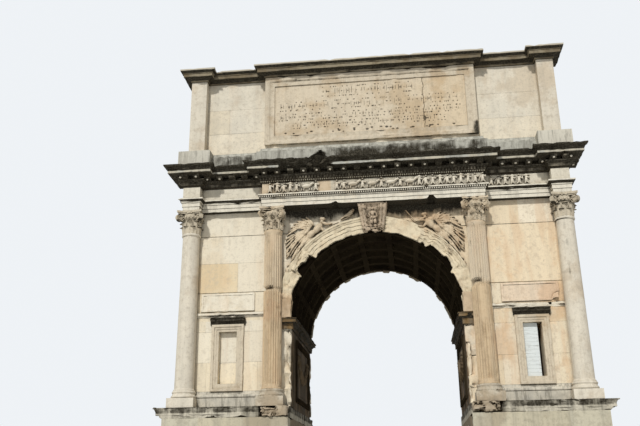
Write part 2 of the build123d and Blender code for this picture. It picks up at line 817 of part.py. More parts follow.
def framed(plane, width, height, frame_width, out):
    """Add a moulded frame, mitred at its corners, on a face"""
    half_width, half_height = width / 2, height / 2
    corners = [
        (0, -half_height), (half_width, -half_height), (half_width, half_height), (-half_width, half_height),
        (-half_width, -half_height), (0, -half_height),
    ]
    with BuildLine(plane) as path:
        Polyline(*corners)
    start = plane.from_local_coords((0, -half_height, 0))
    section_plane = Plane(origin=start, x_dir=plane.y_dir, z_dir=plane.x_dir)
    with BuildSketch(section_plane) as section:
        with BuildLine():
            Polyline((0, 0), (0, out), (0.25 * frame_width, out))
            RadiusArc((0.25 * frame_width, out), (0.55 * frame_width, 0.55 * out), 0.4 * frame_width)
            Polyline((0.55 * frame_width, 0.55 * out), (frame_width, 0.55 * out), (frame_width, 0), (0, 0))
        make_face()
    sweep(section.sketch, path=path.wires()[0], transition=Transition.RIGHT)


with BuildPart() as tablet_frames:
    frame_height = tablet_height
    centre_z = tablet_top - frame_height / 2
    framed(
        Plane(origin=(0, -tablet_face_y, centre_z), x_dir=(1, 0, 0), z_dir=(0, -1, 0)),
        2 * attic_centre_half, frame_height, tablet_frame_width, tablet_frame_out,
    )
    framed(
        Plane(origin=(0, tablet_face_y, centre_z), x_dir=(-1, 0, 0), z_dir=(0, 1, 0)),
        2 * attic_centre_half, frame_height, tablet_frame_width, tablet_frame_out,
    )
finish(tablet_frames, "tablet_frames")

# Windows, their hoods and the boarded shutter
with BuildPart() as window_frames:
    for side in (-1, 1):
        for face in (-1, 1):
            middle = (side * window_x, face * wall_y, window_z)
            framed(
                Plane(origin=middle, x_dir=(-face, 0, 0), z_dir=(0, face, 0)),
                window_width + 2 * window_frame_width, window_height + 2 * window_frame_width,
                window_frame_width, window_frame_out,
            )
finish(window_frames, "window_frames")

HOOD_STEPS = [
    ("flat", 0.3, 0), ("flat", 0, 0.25), ("hollow", 0.3, 0.25), ("flat", 0.2, 0), ("flat", 0, 0.25),
    ("round", 0.2, 0.25),
]
hood_level = sill_level + window_height + window_frame_width

with BuildPart() as window_hoods:
    for side in (-1, 1):
        for face in (-1, 1):
            plane = Plane(
                origin=(side * window_x - hood_width / 2, face * wall_y, hood_level),
                x_dir=(0, face, 0), z_dir=(face, 0, 0),
            )
            section = moulding(HOOD_STEPS, hood_out, hood_height, plane)
            extrude(section, amount=face * hood_width)
    cut_wall()
finish(window_hoods, "window_hoods")

with BuildPart() as window_shutter:
    left_edge = window_x - window_width / 2
    shutter_front = -wall_y + shutter_setback
    block(
        left_edge, left_edge + shutter_width, shutter_front, shutter_front + shutter_thickness,
        sill_level, sill_level + window_height,
    )
finish(window_shutter, "window_shutter")

# Framed panels on the walls of the passage
with BuildPart() as passage_panels:
    panel_z = column_level + panel_foot + panel_height / 2
    for side in (-1, 1):
        framed(
            Plane(origin=(side * arch_radius, 0, panel_z), x_dir=(0, -side, 0), z_dir=(-side, 0, 0)),
            panel_width, panel_height, panel_frame_width, panel_frame_out,
        )
finish(passage_panels, "passage_panels")
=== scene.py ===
# %% [markdown]
# This lesson dresses a Roman triumphal arch. The masonry comes as a fixed frame, in metres,
# with its ground at z = 0 and its front towards -Y. What the frame lacks is made here: carving,
# weathering, joints and damage. The first cell loads the frame.

# %% Load the frame
import math
import random

import bmesh
import bpy
from mathutils import Matrix, Vector, noise


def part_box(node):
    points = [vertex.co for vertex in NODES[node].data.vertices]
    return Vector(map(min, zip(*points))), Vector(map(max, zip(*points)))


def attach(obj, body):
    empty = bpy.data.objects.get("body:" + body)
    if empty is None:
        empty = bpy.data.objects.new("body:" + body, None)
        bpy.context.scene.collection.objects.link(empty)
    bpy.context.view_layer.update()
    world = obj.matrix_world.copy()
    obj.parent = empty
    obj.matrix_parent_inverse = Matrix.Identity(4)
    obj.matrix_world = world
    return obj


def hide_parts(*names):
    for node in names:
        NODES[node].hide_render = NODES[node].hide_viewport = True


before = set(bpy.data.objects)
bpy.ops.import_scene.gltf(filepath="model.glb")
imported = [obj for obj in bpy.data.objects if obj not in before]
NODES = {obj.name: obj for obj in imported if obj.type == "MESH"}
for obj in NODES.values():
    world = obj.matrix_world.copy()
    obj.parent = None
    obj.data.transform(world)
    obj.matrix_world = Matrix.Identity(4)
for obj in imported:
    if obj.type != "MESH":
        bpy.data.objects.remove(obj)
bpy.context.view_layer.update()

# %% [markdown]
# The camera stands near the ground, a little right of the middle, and looks up. Its place was
# solved from the straight edges of the real arch, so it is written as a place, a turn, a tilt and
# a slight roll. Turning three small matrices in order keeps each of those numbers readable.

# %% Camera
CAMERA_PLACE = Vector((0.993, -26.134, 1.37))
CAMERA_TURN = 0.1146
CAMERA_TILT = 0.3415
CAMERA_ROLL = -0.0102
FOCAL_LENGTH = 43.29

bpy.ops.object.select_all(action="DESELECT")
bpy.ops.object.camera_add(location=CAMERA_PLACE)
camera = bpy.context.object
camera.name = "view_camera"
camera.data.lens = FOCAL_LENGTH
camera.data.sensor_width = 36
camera.data.clip_end = 400
turn = Matrix.Rotation(CAMERA_TURN, 4, "Z") @ Matrix.Rotation(math.pi / 2 + CAMERA_TILT, 4, "X")
camera.matrix_world = Matrix.Translation(CAMERA_PLACE) @ turn @ Matrix.Rotation(CAMERA_ROLL, 4, "Z")
bpy.context.scene.camera = camera
print("camera at", tuple(round(v, 2) for v in CAMERA_PLACE))

# %% [markdown]
# One broad sun from the upper left models the carving, and a pale sky fills the shadows. A wide
# sun angle keeps the light soft. The world is pale to the camera and to reflections, and plainer
# as a lamp, so the background is light without flooding the stone.

# %% Lights and sky
SUN_STRENGTH = 2.45
SUN_WIDTH = math.radians(3)
SUN_TILT = (math.radians(50), 0.0, math.radians(-13))
SKY_FILL = 0.42

bpy.ops.object.light_add(type="SUN", location=(-12, -20, 24), rotation=SUN_TILT)
sun = bpy.context.object
sun.name = "soft_sun"
sun.data.energy = SUN_STRENGTH
sun.data.angle = SUN_WIDTH

world = bpy.data.worlds.new("pale_sky")
bpy.context.scene.world = world
world.use_nodes = True
sky = world.node_tree
sky.nodes.clear()
kinds = ("OutputWorld", "MixShader", "Background", "Background", "LightPath", "Math")
made = [sky.nodes.new("ShaderNode" + kind) for kind in kinds]
sky_out, sky_mix, sky_lamp, sky_seen, rays, either = made
either.operation = "MAXIMUM"
sky_lamp.inputs["Color"].default_value = (0.93, 0.96, 1.0, 1)
sky_lamp.inputs["Strength"].default_value = SKY_FILL
sky_seen.inputs["Color"].default_value = (0.86, 0.89, 0.92, 1)
sky_seen.inputs["Strength"].default_value = 1.0
sky.links.new(rays.outputs["Is Camera Ray"], either.inputs[0])
sky.links.new(rays.outputs["Is Glossy Ray"], either.inputs[1])
sky.links.new(either.outputs[0], sky_mix.inputs[0])
sky.links.new(sky_lamp.outputs[0], sky_mix.inputs[1])
sky.links.new(sky_seen.outputs[0], sky_mix.inputs[2])
sky.links.new(sky_mix.outputs[0], sky_out.inputs["Surface"])
bpy.context.scene.view_settings.view_transform = "Standard"
print("sun", SUN_STRENGTH, "sky", SKY_FILL)

# %% [markdown]
# The floor is a plain pale sheet that only catches the shadow of the arch, and is no part of the object.

# %% Floor
bpy.ops.object.select_all(action="DESELECT")
bpy.ops.mesh.primitive_plane_add(size=160, location=(0, 0, -0.002))
floor = bpy.context.object
floor.name = "pale_floor"
floor_paint = bpy.data.materials.new("pale_floor_paint")
floor_paint.use_nodes = True
floor_inputs = floor_paint.node_tree.nodes["Principled BSDF"].inputs
floor_inputs["Base Color"].default_value = (0.78, 0.78, 0.77, 1)
floor_inputs["Roughness"].default_value = 0.9
floor.data.materials.append(floor_paint)
print("floor ready")

# %% [markdown]
# Old stone is never one colour. Rain washes the ledges pale, soot makes a black crust wherever
# rain cannot reach, and ochre seeps out of some blocks. A recipe with a few dials serves all the
# stones here: two body colours mixed in broad patches, fine grain, streaks that run down the
# face, a crust with painted shade that follows downward-facing surfaces, and painted shade with
# grime in the hollows. Every pattern reads Object coordinates, so it is fixed to the stone.

# %% A small kit for shader nodes
def add_node(tree, kind, settings=(), values=()):
    """A shader node with its settings, and with plain values on its inputs"""
    made = tree.nodes.new(kind)
    for name, value in dict(settings).items():
        setattr(made, name, value)
    for name, value in dict(values).items():
        made.inputs[name].default_value = value
    return made


def math_node(tree, operation, first, second):
    """A Math node whose inputs are either links or plain numbers"""
    made = add_node(tree, "ShaderNodeMath", {"operation": operation})
    for index, value in enumerate((first, second)):
        if isinstance(value, (int, float)):
            made.inputs[index].default_value = value
        else:
            tree.links.new(value, made.inputs[index])
    return made.outputs[0]


def scaled(tree, value, share):
    """A value times a number or another value"""
    return math_node(tree, "MULTIPLY", value, share)


def band(tree, value, low, high):
    """0 below the low value, 1 above the high one, smooth between"""
    made = add_node(tree, "ShaderNodeMapRange", {"interpolation_type": "SMOOTHSTEP", "clamp": True})
    made.inputs["From Min"].default_value = low
    made.inputs["From Max"].default_value = high
    tree.links.new(value, made.inputs["Value"])
    return made.outputs["Result"]


def mixed(tree, factor, first, second):
    """A mix of two colours, each a link or a plain colour"""
    made = add_node(tree, "ShaderNodeMix", {"data_type": "RGBA", "clamp_factor": True})
    tree.links.new(factor, made.inputs[0])
    for index, value in ((6, first), (7, second)):
        if isinstance(value, tuple):
            made.inputs[index].default_value = (*value, 1)
        else:
            tree.links.new(value, made.inputs[index])
    return made.outputs[2]


print("shader kit ready")

# %% Patterns, blends and stains
def noise_value(tree, place, scale, detail, roughness, stretch=None):
    """Noise from 0 to 1 over Object coordinates, which may be stretched along an axis"""
    if stretch is not None:
        stretched = add_node(tree, "ShaderNodeMapping", {"vector_type": "POINT"}, {"Scale": stretch})
        tree.links.new(place, stretched.inputs["Vector"])
        place = stretched.outputs["Vector"]
    dials = {"Scale": scale, "Detail": detail, "Roughness": roughness}
    made = add_node(tree, "ShaderNodeTexNoise", {}, dials)
    tree.links.new(place, made.inputs["Vector"])
    return made.outputs["Fac"]


def blended(tree, first, first_share, second, second_share):
    """Two patterns added up, each in its share"""
    return math_node(tree, "ADD", scaled(tree, first, first_share), scaled(tree, second, second_share))


def stained(tree, colour, pattern, low, high, share, stain):
    """A stain over a colour, from none at the pattern's low value to its full share at the high one"""
    return mixed(tree, scaled(tree, band(tree, pattern, low, high), share), colour, stain)


def darkened(colour, share):
    """A darker tone of a colour"""
    return tuple(share * part for part in colour)


print("stains ready")

# %% Soot and painted shade that gather in zones
# Soot colours; they also paint shade on undersides and in the shade zones
SOOT = (0.026, 0.022, 0.015)
PALE_SOOT = (0.13, 0.115, 0.085)
# The colour of painted shade and grime in hollows
HOLLOW_SHADE_AND_GRIME = (0.05, 0.036, 0.019)
STREAK_GREY = (0.21, 0.195, 0.16)
SEEPING_OCHRE = (0.64, 0.43, 0.25)
DUST_GREY = (0.33, 0.32, 0.28)
RAIN_PALE = (0.74, 0.68, 0.55)


def zone_amount(tree, place, zones):
    """Soft boxes added up: each has limits along X, Y and Z, the width of its edge, and a strength"""
    apart = add_node(tree, "ShaderNodeSeparateXYZ")
    tree.links.new(place, apart.inputs[0])
    total = None
    for limits, edge, strength in zones:
        inside = None
        for axis, span in zip("XYZ", limits):
            if span is None:
                continue
            low, high = span
            rise = band(tree, apart.outputs[axis], low - edge, low + edge)
            fall = band(tree, apart.outputs[axis], high - edge, high + edge)
            part = math_node(tree, "SUBTRACT", rise, fall)
            inside = part if inside is None else scaled(tree, inside, part)
        amount = scaled(tree, inside, strength)
        total = amount if total is None else math_node(tree, "ADD", total, amount)
    return total


def soot_and_shade_cover(tree, place, run, patchy, crust, underside_shade_and_soot, strips, zones):
    """How far soot and painted shade cover the stone: it starts at 0, on undersides, in zones and where
    patterns add up
    """
    normal = add_node(tree, "ShaderNodeNewGeometry").outputs["Normal"]
    split = add_node(tree, "ShaderNodeSeparateXYZ")
    tree.links.new(normal, split.inputs[0])
    # Faces turned down take soot crust and painted shade
    under = band(tree, scaled(tree, split.outputs["Z"], -1.0), 0.1, 0.75)
    soot_and_shade_share = math_node(tree, "ADD", scaled(tree, under, underside_shade_and_soot), crust)
    if zones:
        soot_and_shade_share = math_node(tree, "ADD", soot_and_shade_share, zone_amount(tree, place, zones))
    if strips:
        level = noise_value(tree, place, 1.0, 4.0, 0.6, stretch=(0.7, 0.7, 11.0))
        bare = scaled(tree, band(tree, level, 0.55, 0.66), strips)
        soot_and_shade_share = math_node(tree, "SUBTRACT", soot_and_shade_share, bare)
    ragged = blended(tree, run, 0.4, patchy, 0.6)
    return math_node(tree, "SUBTRACT", math_node(tree, "ADD", soot_and_shade_share, ragged), 0.72)


print("zones ready")

# %% Body colours and pores
def body_colour(tree, place, patchy, grain, pale, warm, warm_share, blocks):
    """Two colours in broad patches, tinted block by block, with darker grain and mottle"""
    broad = noise_value(tree, place, 0.55, 3.0, 0.55)
    fold = blended(tree, broad, 0.65, patchy, 0.35)
    share = band(tree, fold, 0.62 - 0.24 * warm_share, 0.78 - 0.36 * warm_share)
    colour = mixed(tree, share, pale, warm)
    if blocks:
        tint = add_node(tree, "ShaderNodeAttribute", {"attribute_name": "block_tint"})
        made = add_node(tree, "ShaderNodeMix", {"data_type": "RGBA", "blend_type": "MULTIPLY"})
        made.inputs[0].default_value = 1
        tree.links.new(colour, made.inputs[6])
        tree.links.new(tint.outputs["Color"], made.inputs[7])
        colour = made.outputs[2]
    colour = stained(tree, colour, grain, 0.5, 0.72, 0.45, darkened(warm, 0.55))
    mottle = noise_value(tree, place, 7.0, 5.0, 0.65)
    return stained(tree, colour, mottle, 0.5, 0.66, 0.4, darkened(warm, 0.7))


def pore_pattern(tree, place, patchy):
    """Small round pores, in patches"""
    pores = add_node(tree, "ShaderNodeTexVoronoi", {"feature": "F1"}, {"Scale": 26.0})
    tree.links.new(place, pores.inputs["Vector"])
    near = scaled(tree, pores.outputs["Distance"], -1.0)
    return scaled(tree, band(tree, near, -0.2, -0.08), band(tree, patchy, 0.5, 0.62))


print("body colours ready")

# %% The stone recipe
def stone(name, pale, warm, warm_share=0.5, streaks=0.3, crust=0.0, underside_shade_and_soot=0.5, pits=0.3,
          blocks=False, hollow_shade_and_grime=0.4, grey=0.0, strips=0.0, seep=0.0, drips=0.0, reach=0.12,
          gloss=0.04, zones=(), washed=(), wash=RAIN_PALE):
    """A weathered stone, with painted shade under it and in its hollows; most dials run from 0 to
    about 1, zones gather more soot and painted shade, or less, and washed zones turn paler, or towards
    another colour"""
    paint = bpy.data.materials.new(name)
    paint.use_nodes = True
    tree = paint.node_tree
    shader = tree.nodes["Principled BSDF"]
    shader.inputs["Specular IOR Level"].default_value = gloss
    place = add_node(tree, "ShaderNodeTexCoord").outputs["Object"]
    patchy = noise_value(tree, place, 2.3, 6.0, 0.65)
    grain = noise_value(tree, place, 21.0, 8.0, 0.7)
    run = noise_value(tree, place, 1.0, 7.0, 0.7, stretch=(5.5, 5.5, 0.35))

    colour = body_colour(tree, place, patchy, grain, pale, warm, warm_share, blocks)
    colour = stained(tree, colour, run, 0.42, 0.68, streaks, STREAK_GREY)
    if washed:
        colour = mixed(tree, zone_amount(tree, place, washed), colour, wash)
    if seep:
        warm_run = noise_value(tree, place, 1.0, 5.0, 0.6, stretch=(2.6, 2.6, 0.4))
        colour = stained(tree, colour, warm_run, 0.5, 0.64, seep, SEEPING_OCHRE)
    if grey:
        colour = stained(tree, colour, patchy, 0.35, 0.62, grey, DUST_GREY)

    cover = soot_and_shade_cover(tree, place, run, patchy, crust, underside_shade_and_soot, strips, zones)
    soot = mixed(tree, band(tree, grain, 0.38, 0.8), SOOT, PALE_SOOT)
    colour = mixed(tree, band(tree, cover, 0.0, 0.24), colour, soot)
    # Painted shade and grime in hollows: where ambient occlusion closes in, the colour darkens
    occlusion = add_node(tree, "ShaderNodeAmbientOcclusion", {"samples": 4}, {"Distance": reach})
    deep = scaled(tree, occlusion.outputs["AO"], -1.0)
    colour = stained(tree, colour, deep, -0.76, -0.34, hollow_shade_and_grime, HOLLOW_SHADE_AND_GRIME)
    if drips:
        drip_run = noise_value(tree, place, 1.0, 8.0, 0.75, stretch=(8.0, 8.0, 1.1))
        colour = stained(tree, colour, drip_run, 0.5, 0.6, drips, soot)

    hole = pore_pattern(tree, place, patchy)
    colour = mixed(tree, scaled(tree, hole, pits), colour, darkened(warm, 0.35))
    tree.links.new(colour, shader.inputs["Base Color"])
    rough_value = math_node(tree, "ADD", scaled(tree, grain, 0.2), 0.75)
    tree.links.new(rough_value, shader.inputs["Roughness"])
    lumps = math_node(tree, "ADD", grain, scaled(tree, patchy, 0.8))
    relief = add_node(tree, "ShaderNodeBump", {}, {"Strength": 0.35, "Distance": 0.012})
    tree.links.new(math_node(tree, "SUBTRACT", lumps, hole), relief.inputs["Height"])
    tree.links.new(relief.outputs["Normal"], shader.inputs["Normal"])
    return paint


print("recipe ready")

# %% [markdown]
# Before the stones, the places where weather has marked them, and where shade is painted. A zone
# is a soft box: its limits along X, Y and Z in metres (None for no limit), the width of its edge,
# and a strength. Painted shadow and soot lie under the middle of the architrave, soot on the top of
# the cornice and along the foot of the attic. In the other direction, zones of negative strength and
# washed zones show where rain keeps an edge pale; the top edge of the attic cornice is also a
# painted highlight. The walls of the passage get a washed zone towards brown: painted shade for the
# shadowed passage, over smoke stain.

# %% Zones of soot and rain
def foot_and_top(node):
    """The lowest and the highest level of a node of the frame"""
    low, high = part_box(node)
    return low[2], high[2]


CORNICE_FOOT, CORNICE_TOP = foot_and_top("cornice")
CAP_FOOT, CAP_TOP = foot_and_top("left_podium_cap")
ATTIC_CORNICE_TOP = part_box("attic_cornice")[1][2]
FRONT = (-9, 0)
ABOVE = 1.0

PASSAGE = ((-2.76, 2.76), (-2.25, 2.25), (-1, 9.3))
SHADOW_AND_SOOT_UNDER_ARCHITRAVE = ((-3.0, 2.95), None, (9.72, 10.2))
SPANDRELS = ((-3.0, 3.0), None, (6.9, 10.1))
MIDDLE = ((-3.62, 3.62), None, None)
NOTCH = ((-1.84, -1.5), None, (11.4, 11.86))
LEFT_CORNER_BLOCK = ((-9, -5.42), None, None)
RIGHT_CORNER_BLOCK = ((5.42, 9), None, None)
# Painted highlight and rain wash: the top edge of the attic cornice is kept pale
COPING_EDGE_WASH_AND_HIGHLIGHT = (None, None, (ATTIC_CORNICE_TOP - 0.05, ATTIC_CORNICE_TOP + ABOVE))

# Painted shade in the passage, painted shadow with soot under the architrave, and soot over the spandrels
WALL_SOOT_AND_SHADE = [(PASSAGE, 0.06, 0.12), (SHADOW_AND_SOOT_UNDER_ARCHITRAVE, 0.3, 0.38), (SPANDRELS, 0.1, 0.18)]
# Painted shade for the passage, which lies in shadow, over stained stone: more soot cover and a wash to dark
# brown
SHADED_PASSAGE_DARKENING = (PASSAGE, 0.06, 0.2)
SHADED_PASSAGE_WASH = (PASSAGE, 0.06, 0.96)
SHADED_PASSAGE_BROWN = (0.05, 0.035, 0.018)
DARK_CYMA = ((None, None, (CORNICE_FOOT + 0.085, CORNICE_TOP + ABOVE)), 0.012, 0.4)
PALE_CORONA = ((None, None, (CORNICE_FOOT + 0.02, CORNICE_FOOT + 0.075)), 0.012, -0.2)
LOST_CORONA = (((-2.95, -1.2), FRONT, None), 0.06, 0.35)
CAP_TOP_SOOT = ((None, None, (CAP_FOOT + 0.45 * (CAP_TOP - CAP_FOOT), CAP_TOP + ABOVE)), 0.03, 0.23)
ATTIC_FOOT_SOOT = [
    (NOTCH, 0.1, 0.5),
    (((-5.3, -3.9), None, (11, 12.1)), 0.3, 0.26),
    (((3.9, 5.3), None, (11, 12.1)), 0.3, 0.12),
    (((-1.3, 3.9), None, (11, 12.08)), 0.4, 0.3),
    (((-2.2, 2.4), None, (11, 11.9)), 0.3, 0.09),
    ((None, None, (12.1, 12.3)), 0.025, -0.35),
]
ARCHITRAVE_SOOT = (((4.0, 9), FRONT, None), 0.3, 0.14)
# Painted shade and soot on the frieze ground behind the figures
FRIEZE_SHADE_AND_SOOT = (((-3.6, 4.98), None, None), 0.05, 0.17)
FRIEZE_WASH = [(((-3.7, -3.05), None, None), 0.04, 0.7), (((-1.74, -1.32), None, None), 0.03, 0.8)]
SHAFT_TOP_SOOT = (((5.3, 6.06), (-4, 0), (7.3, 9.2)), 0.15, 0.22)
SHAFT_TOP_WASH = [(((2, 4), (-4, 0), (7.25, 9.2)), 0.12, 0.42), (((-4, -2), (-4, 0), (7.25, 9.2)), 0.12, 0.2)]
TABLET_CORNER_SOOT = (((3.42, 3.8), None, (12.2, 12.85)), 0.16, 0.5)
# Painted shadow: the vault's front rim, seen where the ring is broken, is washed near black
VAULT_RIM_SHADOW = ((None, (-9, -2.3), None), 0.05, 1)
print("cornice from", round(CORNICE_FOOT, 2), "to", round(CORNICE_TOP, 2))

# %% [markdown]
# Now the stones themselves. The left half of the front is a cool ivory, the right half a warmer
# peach, and the old inner columns are ochre. Each stone names its two body colours, and then only
# the dials that differ from the plain recipe.

# %% Wall stones
CREAM = (0.75, 0.655, 0.495)
IVORY = (0.79, 0.72, 0.575)
HONEY = (0.6, 0.46, 0.29)
PEACH = (0.58, 0.41, 0.25)
ASH = (0.44, 0.43, 0.37)

wall_stone = stone("wall_stone", IVORY, CREAM, streaks=0.12, underside_shade_and_soot=0.35, seep=0.12)
block_wall_stone = stone(
    "block_wall_stone", IVORY, CREAM, streaks=0.1, underside_shade_and_soot=0.35, blocks=True, seep=0.16,
    zones=WALL_SOOT_AND_SHADE, washed=[SHADED_PASSAGE_WASH], wash=SHADED_PASSAGE_BROWN)
peach_wall_stone = stone(
    "peach_wall_stone", (0.78, 0.7, 0.555), (0.72, 0.57, 0.4), streaks=0.12, underside_shade_and_soot=0.35,
    blocks=True, seep=0.4, zones=WALL_SOOT_AND_SHADE, washed=[SHADED_PASSAGE_WASH], wash=SHADED_PASSAGE_BROWN)
peach_stone = stone("peach_stone", (0.74, 0.6, 0.44), (0.66, 0.48, 0.32), warm_share=0.6, streaks=0.15)
podium_stone = stone("podium_stone", (0.55, 0.51, 0.39), (0.43, 0.38, 0.28), streaks=0.35)
# Towards the passage the podium blocks are washed dark brown as painted shade
podium_block_stone = stone(
    "podium_block_stone", (0.55, 0.51, 0.39), (0.43, 0.38, 0.28), streaks=0.35, blocks=True,
    zones=[SHADED_PASSAGE_DARKENING], washed=[(PASSAGE, 0.06, 0.75)], wash=(0.17, 0.12, 0.07))
wall_base_stone = stone(
    "wall_base_stone", (0.66, 0.6, 0.48), (0.54, 0.48, 0.37), underside_shade_and_soot=0.6, grey=0.35, crust=0.04,
    drips=0.4, hollow_shade_and_grime=1.0)
attic_stone = stone(
    "attic_stone", (0.76, 0.69, 0.55), (0.68, 0.58, 0.43), streaks=0.1, underside_shade_and_soot=0.3, blocks=True,
    grey=0.16, seep=0.1)
attic_plain_stone = stone(
    "attic_plain_stone", (0.71, 0.64, 0.51), (0.63, 0.53, 0.39), streaks=0.2, underside_shade_and_soot=0.4, grey=0.1)
# Painted shade: the vault, its coffers, the passage panels and the coffer flowers are darkened to the shadow
# of the passage
shaded_passage_stone = stone(
    "shaded_passage_stone", (0.035, 0.026, 0.015), (0.022, 0.016, 0.01), streaks=0.0, underside_shade_and_soot=0.0, gloss=0.0,
    washed=[VAULT_RIM_SHADOW], wash=(0.007, 0.005, 0.003))
print("wall stones mixed")

# %% Stones of the columns and the arch
ochre_stone = stone(
    "ochre_stone", HONEY, PEACH, streaks=0.25, underside_shade_and_soot=0.4, hollow_shade_and_grime=1.0, seep=0.2,
    washed=SHAFT_TOP_WASH)
smooth_stone = stone(
    "smooth_stone", (0.72, 0.65, 0.52), (0.64, 0.54, 0.4), warm_share=0.4, streaks=0.2, underside_shade_and_soot=0.3,
    pits=0.15, grey=0.12, zones=[SHAFT_TOP_SOOT])
capital_stone = stone(
    "capital_stone", (0.6, 0.52, 0.385), (0.49, 0.4, 0.27), warm_share=0.4, underside_shade_and_soot=0.4,
    hollow_shade_and_grime=1.0, reach=0.22)
old_capital_stone = stone(
    "old_capital_stone", (0.64, 0.54, 0.39), (0.52, 0.4, 0.26), underside_shade_and_soot=0.25, hollow_shade_and_grime=1.0)
rock_stone = stone(
    "rock_stone", (0.58, 0.51, 0.39), (0.42, 0.33, 0.22), streaks=0.25, underside_shade_and_soot=0.35, hollow_shade_and_grime=1.0,
    grey=0.15, reach=0.2)
ring_stone = stone(
    "ring_stone", (0.72, 0.615, 0.43), (0.62, 0.465, 0.295), streaks=0.2, underside_shade_and_soot=0.35, hollow_shade_and_grime=0.7)
ochre_block_stone = stone(
    "ochre_block_stone", (0.56, 0.43, 0.285), (0.46, 0.33, 0.2), streaks=0.25)
# Along the passage the imposts are washed near black as painted shade
impost_stone = stone(
    "impost_stone", (0.21, 0.135, 0.06), (0.12, 0.076, 0.034), warm_share=0.6, streaks=0.4,
    crust=0.1, underside_shade_and_soot=0.7, zones=[SHADED_PASSAGE_DARKENING], washed=[(PASSAGE, 0.06, 0.85)],
    wash=(0.05, 0.034, 0.017))
keystone_stone = stone(
    "keystone_stone", (0.56, 0.44, 0.31), (0.42, 0.32, 0.21), streaks=0.35, underside_shade_and_soot=0.1, hollow_shade_and_grime=1.0)
relief_stone = stone(
    "relief_stone", (0.68, 0.56, 0.39), (0.54, 0.39, 0.24), streaks=0.15, underside_shade_and_soot=0.12, hollow_shade_and_grime=1.0,
    reach=0.16)
# The garlands in the passage are dark as painted shade
shaded_garland_stone = stone(
    "shaded_garland_stone", (0.16, 0.115, 0.068), (0.1, 0.07, 0.036), underside_shade_and_soot=0.2, hollow_shade_and_grime=0.8,
    gloss=0.0)
print("column and arch stones mixed")

# %% Stones of the entablature and the attic
architrave_stone = stone(
    "architrave_stone", (0.75, 0.69, 0.56), CREAM, warm_share=0.4, underside_shade_and_soot=0.85, hollow_shade_and_grime=1.0,
    reach=0.07, zones=[ARCHITRAVE_SOOT])
frieze_stone = stone(
    "frieze_stone", (0.7, 0.64, 0.51), (0.58, 0.51, 0.39), streaks=0.2, hollow_shade_and_grime=1.0, reach=0.2,
    zones=[FRIEZE_SHADE_AND_SOOT], washed=FRIEZE_WASH, wash=(0.6, 0.46, 0.3))
frieze_figure_stone = stone(
    "frieze_figure_stone", (0.78, 0.71, 0.57), (0.68, 0.59, 0.45), streaks=0.1, underside_shade_and_soot=0.05,
    hollow_shade_and_grime=1.0)
# The bed under the cornice is dark: soot crust and painted shade
bed_stone = stone(
    "bed_stone", (0.3, 0.26, 0.19), (0.19, 0.16, 0.11), streaks=0.5, crust=0.38, underside_shade_and_soot=0.9,
    hollow_shade_and_grime=0.8, zones=[(MIDDLE, 0.2, 0.06)])
pale_dot_stone = stone(
    "pale_dot_stone", (0.4, 0.36, 0.27), (0.3, 0.26, 0.19), streaks=0.5, crust=0.05, underside_shade_and_soot=0.3)
tip_stone = stone(
    "tip_stone", (0.76, 0.7, 0.57), (0.64, 0.58, 0.45), streaks=0.1, underside_shade_and_soot=0.05, hollow_shade_and_grime=0.0)
crusted_stone = stone(
    "crusted_stone", (0.52, 0.47, 0.36), ASH, warm_share=0.6, streaks=0.5, crust=0.38, underside_shade_and_soot=0.9,
    strips=0.3, zones=[(MIDDLE, 0.3, -0.05), DARK_CYMA, PALE_CORONA, LOST_CORONA])
grey_stone = stone(
    "grey_stone", (0.52, 0.5, 0.42), (0.36, 0.34, 0.28), streaks=0.6, crust=0.09, underside_shade_and_soot=0.4,
    drips=0.35, zones=ATTIC_FOOT_SOOT,
    washed=[(LEFT_CORNER_BLOCK, 0.04, 0.38), (RIGHT_CORNER_BLOCK, 0.04, 0.6)])
# Its top edge is pale as rain wash and painted highlight
brown_crust_stone = stone(
    "brown_crust_stone", (0.3, 0.25, 0.165), (0.18, 0.14, 0.085), warm_share=0.6, crust=0.16,
    underside_shade_and_soot=0.6, strips=0.2, hollow_shade_and_grime=0.7, zones=[(MIDDLE, 0.3, -0.08), (COPING_EDGE_WASH_AND_HIGHLIGHT, 0.01, -0.22)],
    washed=[(COPING_EDGE_WASH_AND_HIGHLIGHT, 0.01, 0.6)])
coping_stone = stone(
    "coping_stone", (0.56, 0.51, 0.41), (0.36, 0.32, 0.25), streaks=0.4, crust=0.1)
tablet_stone = stone(
    "tablet_stone", (0.67, 0.57, 0.42), (0.57, 0.45, 0.3), streaks=0.15, blocks=True)
frame_stone = stone(
    "frame_stone", (0.62, 0.535, 0.4), (0.51, 0.4, 0.265), streaks=0.2, underside_shade_and_soot=0.3, hollow_shade_and_grime=0.5,
    zones=[TABLET_CORNER_SOOT])
hood_stone = stone(
    "hood_stone", (0.4, 0.36, 0.27), (0.2, 0.17, 0.13), streaks=0.5, crust=0.5)
cap_stone = stone(
    "cap_stone", (0.56, 0.51, 0.4), (0.42, 0.38, 0.29), warm_share=0.6, streaks=0.5, crust=0.155,
    underside_shade_and_soot=0.8, drips=0.35, hollow_shade_and_grime=1.0, zones=[CAP_TOP_SOOT])
print("upper stones mixed")

# %% [markdown]
# The shutter is the one piece of wood. Its paint is a pale blue-white, rubbed through to grey wood
# in fine lines along the boards, so the noise is stretched along X.

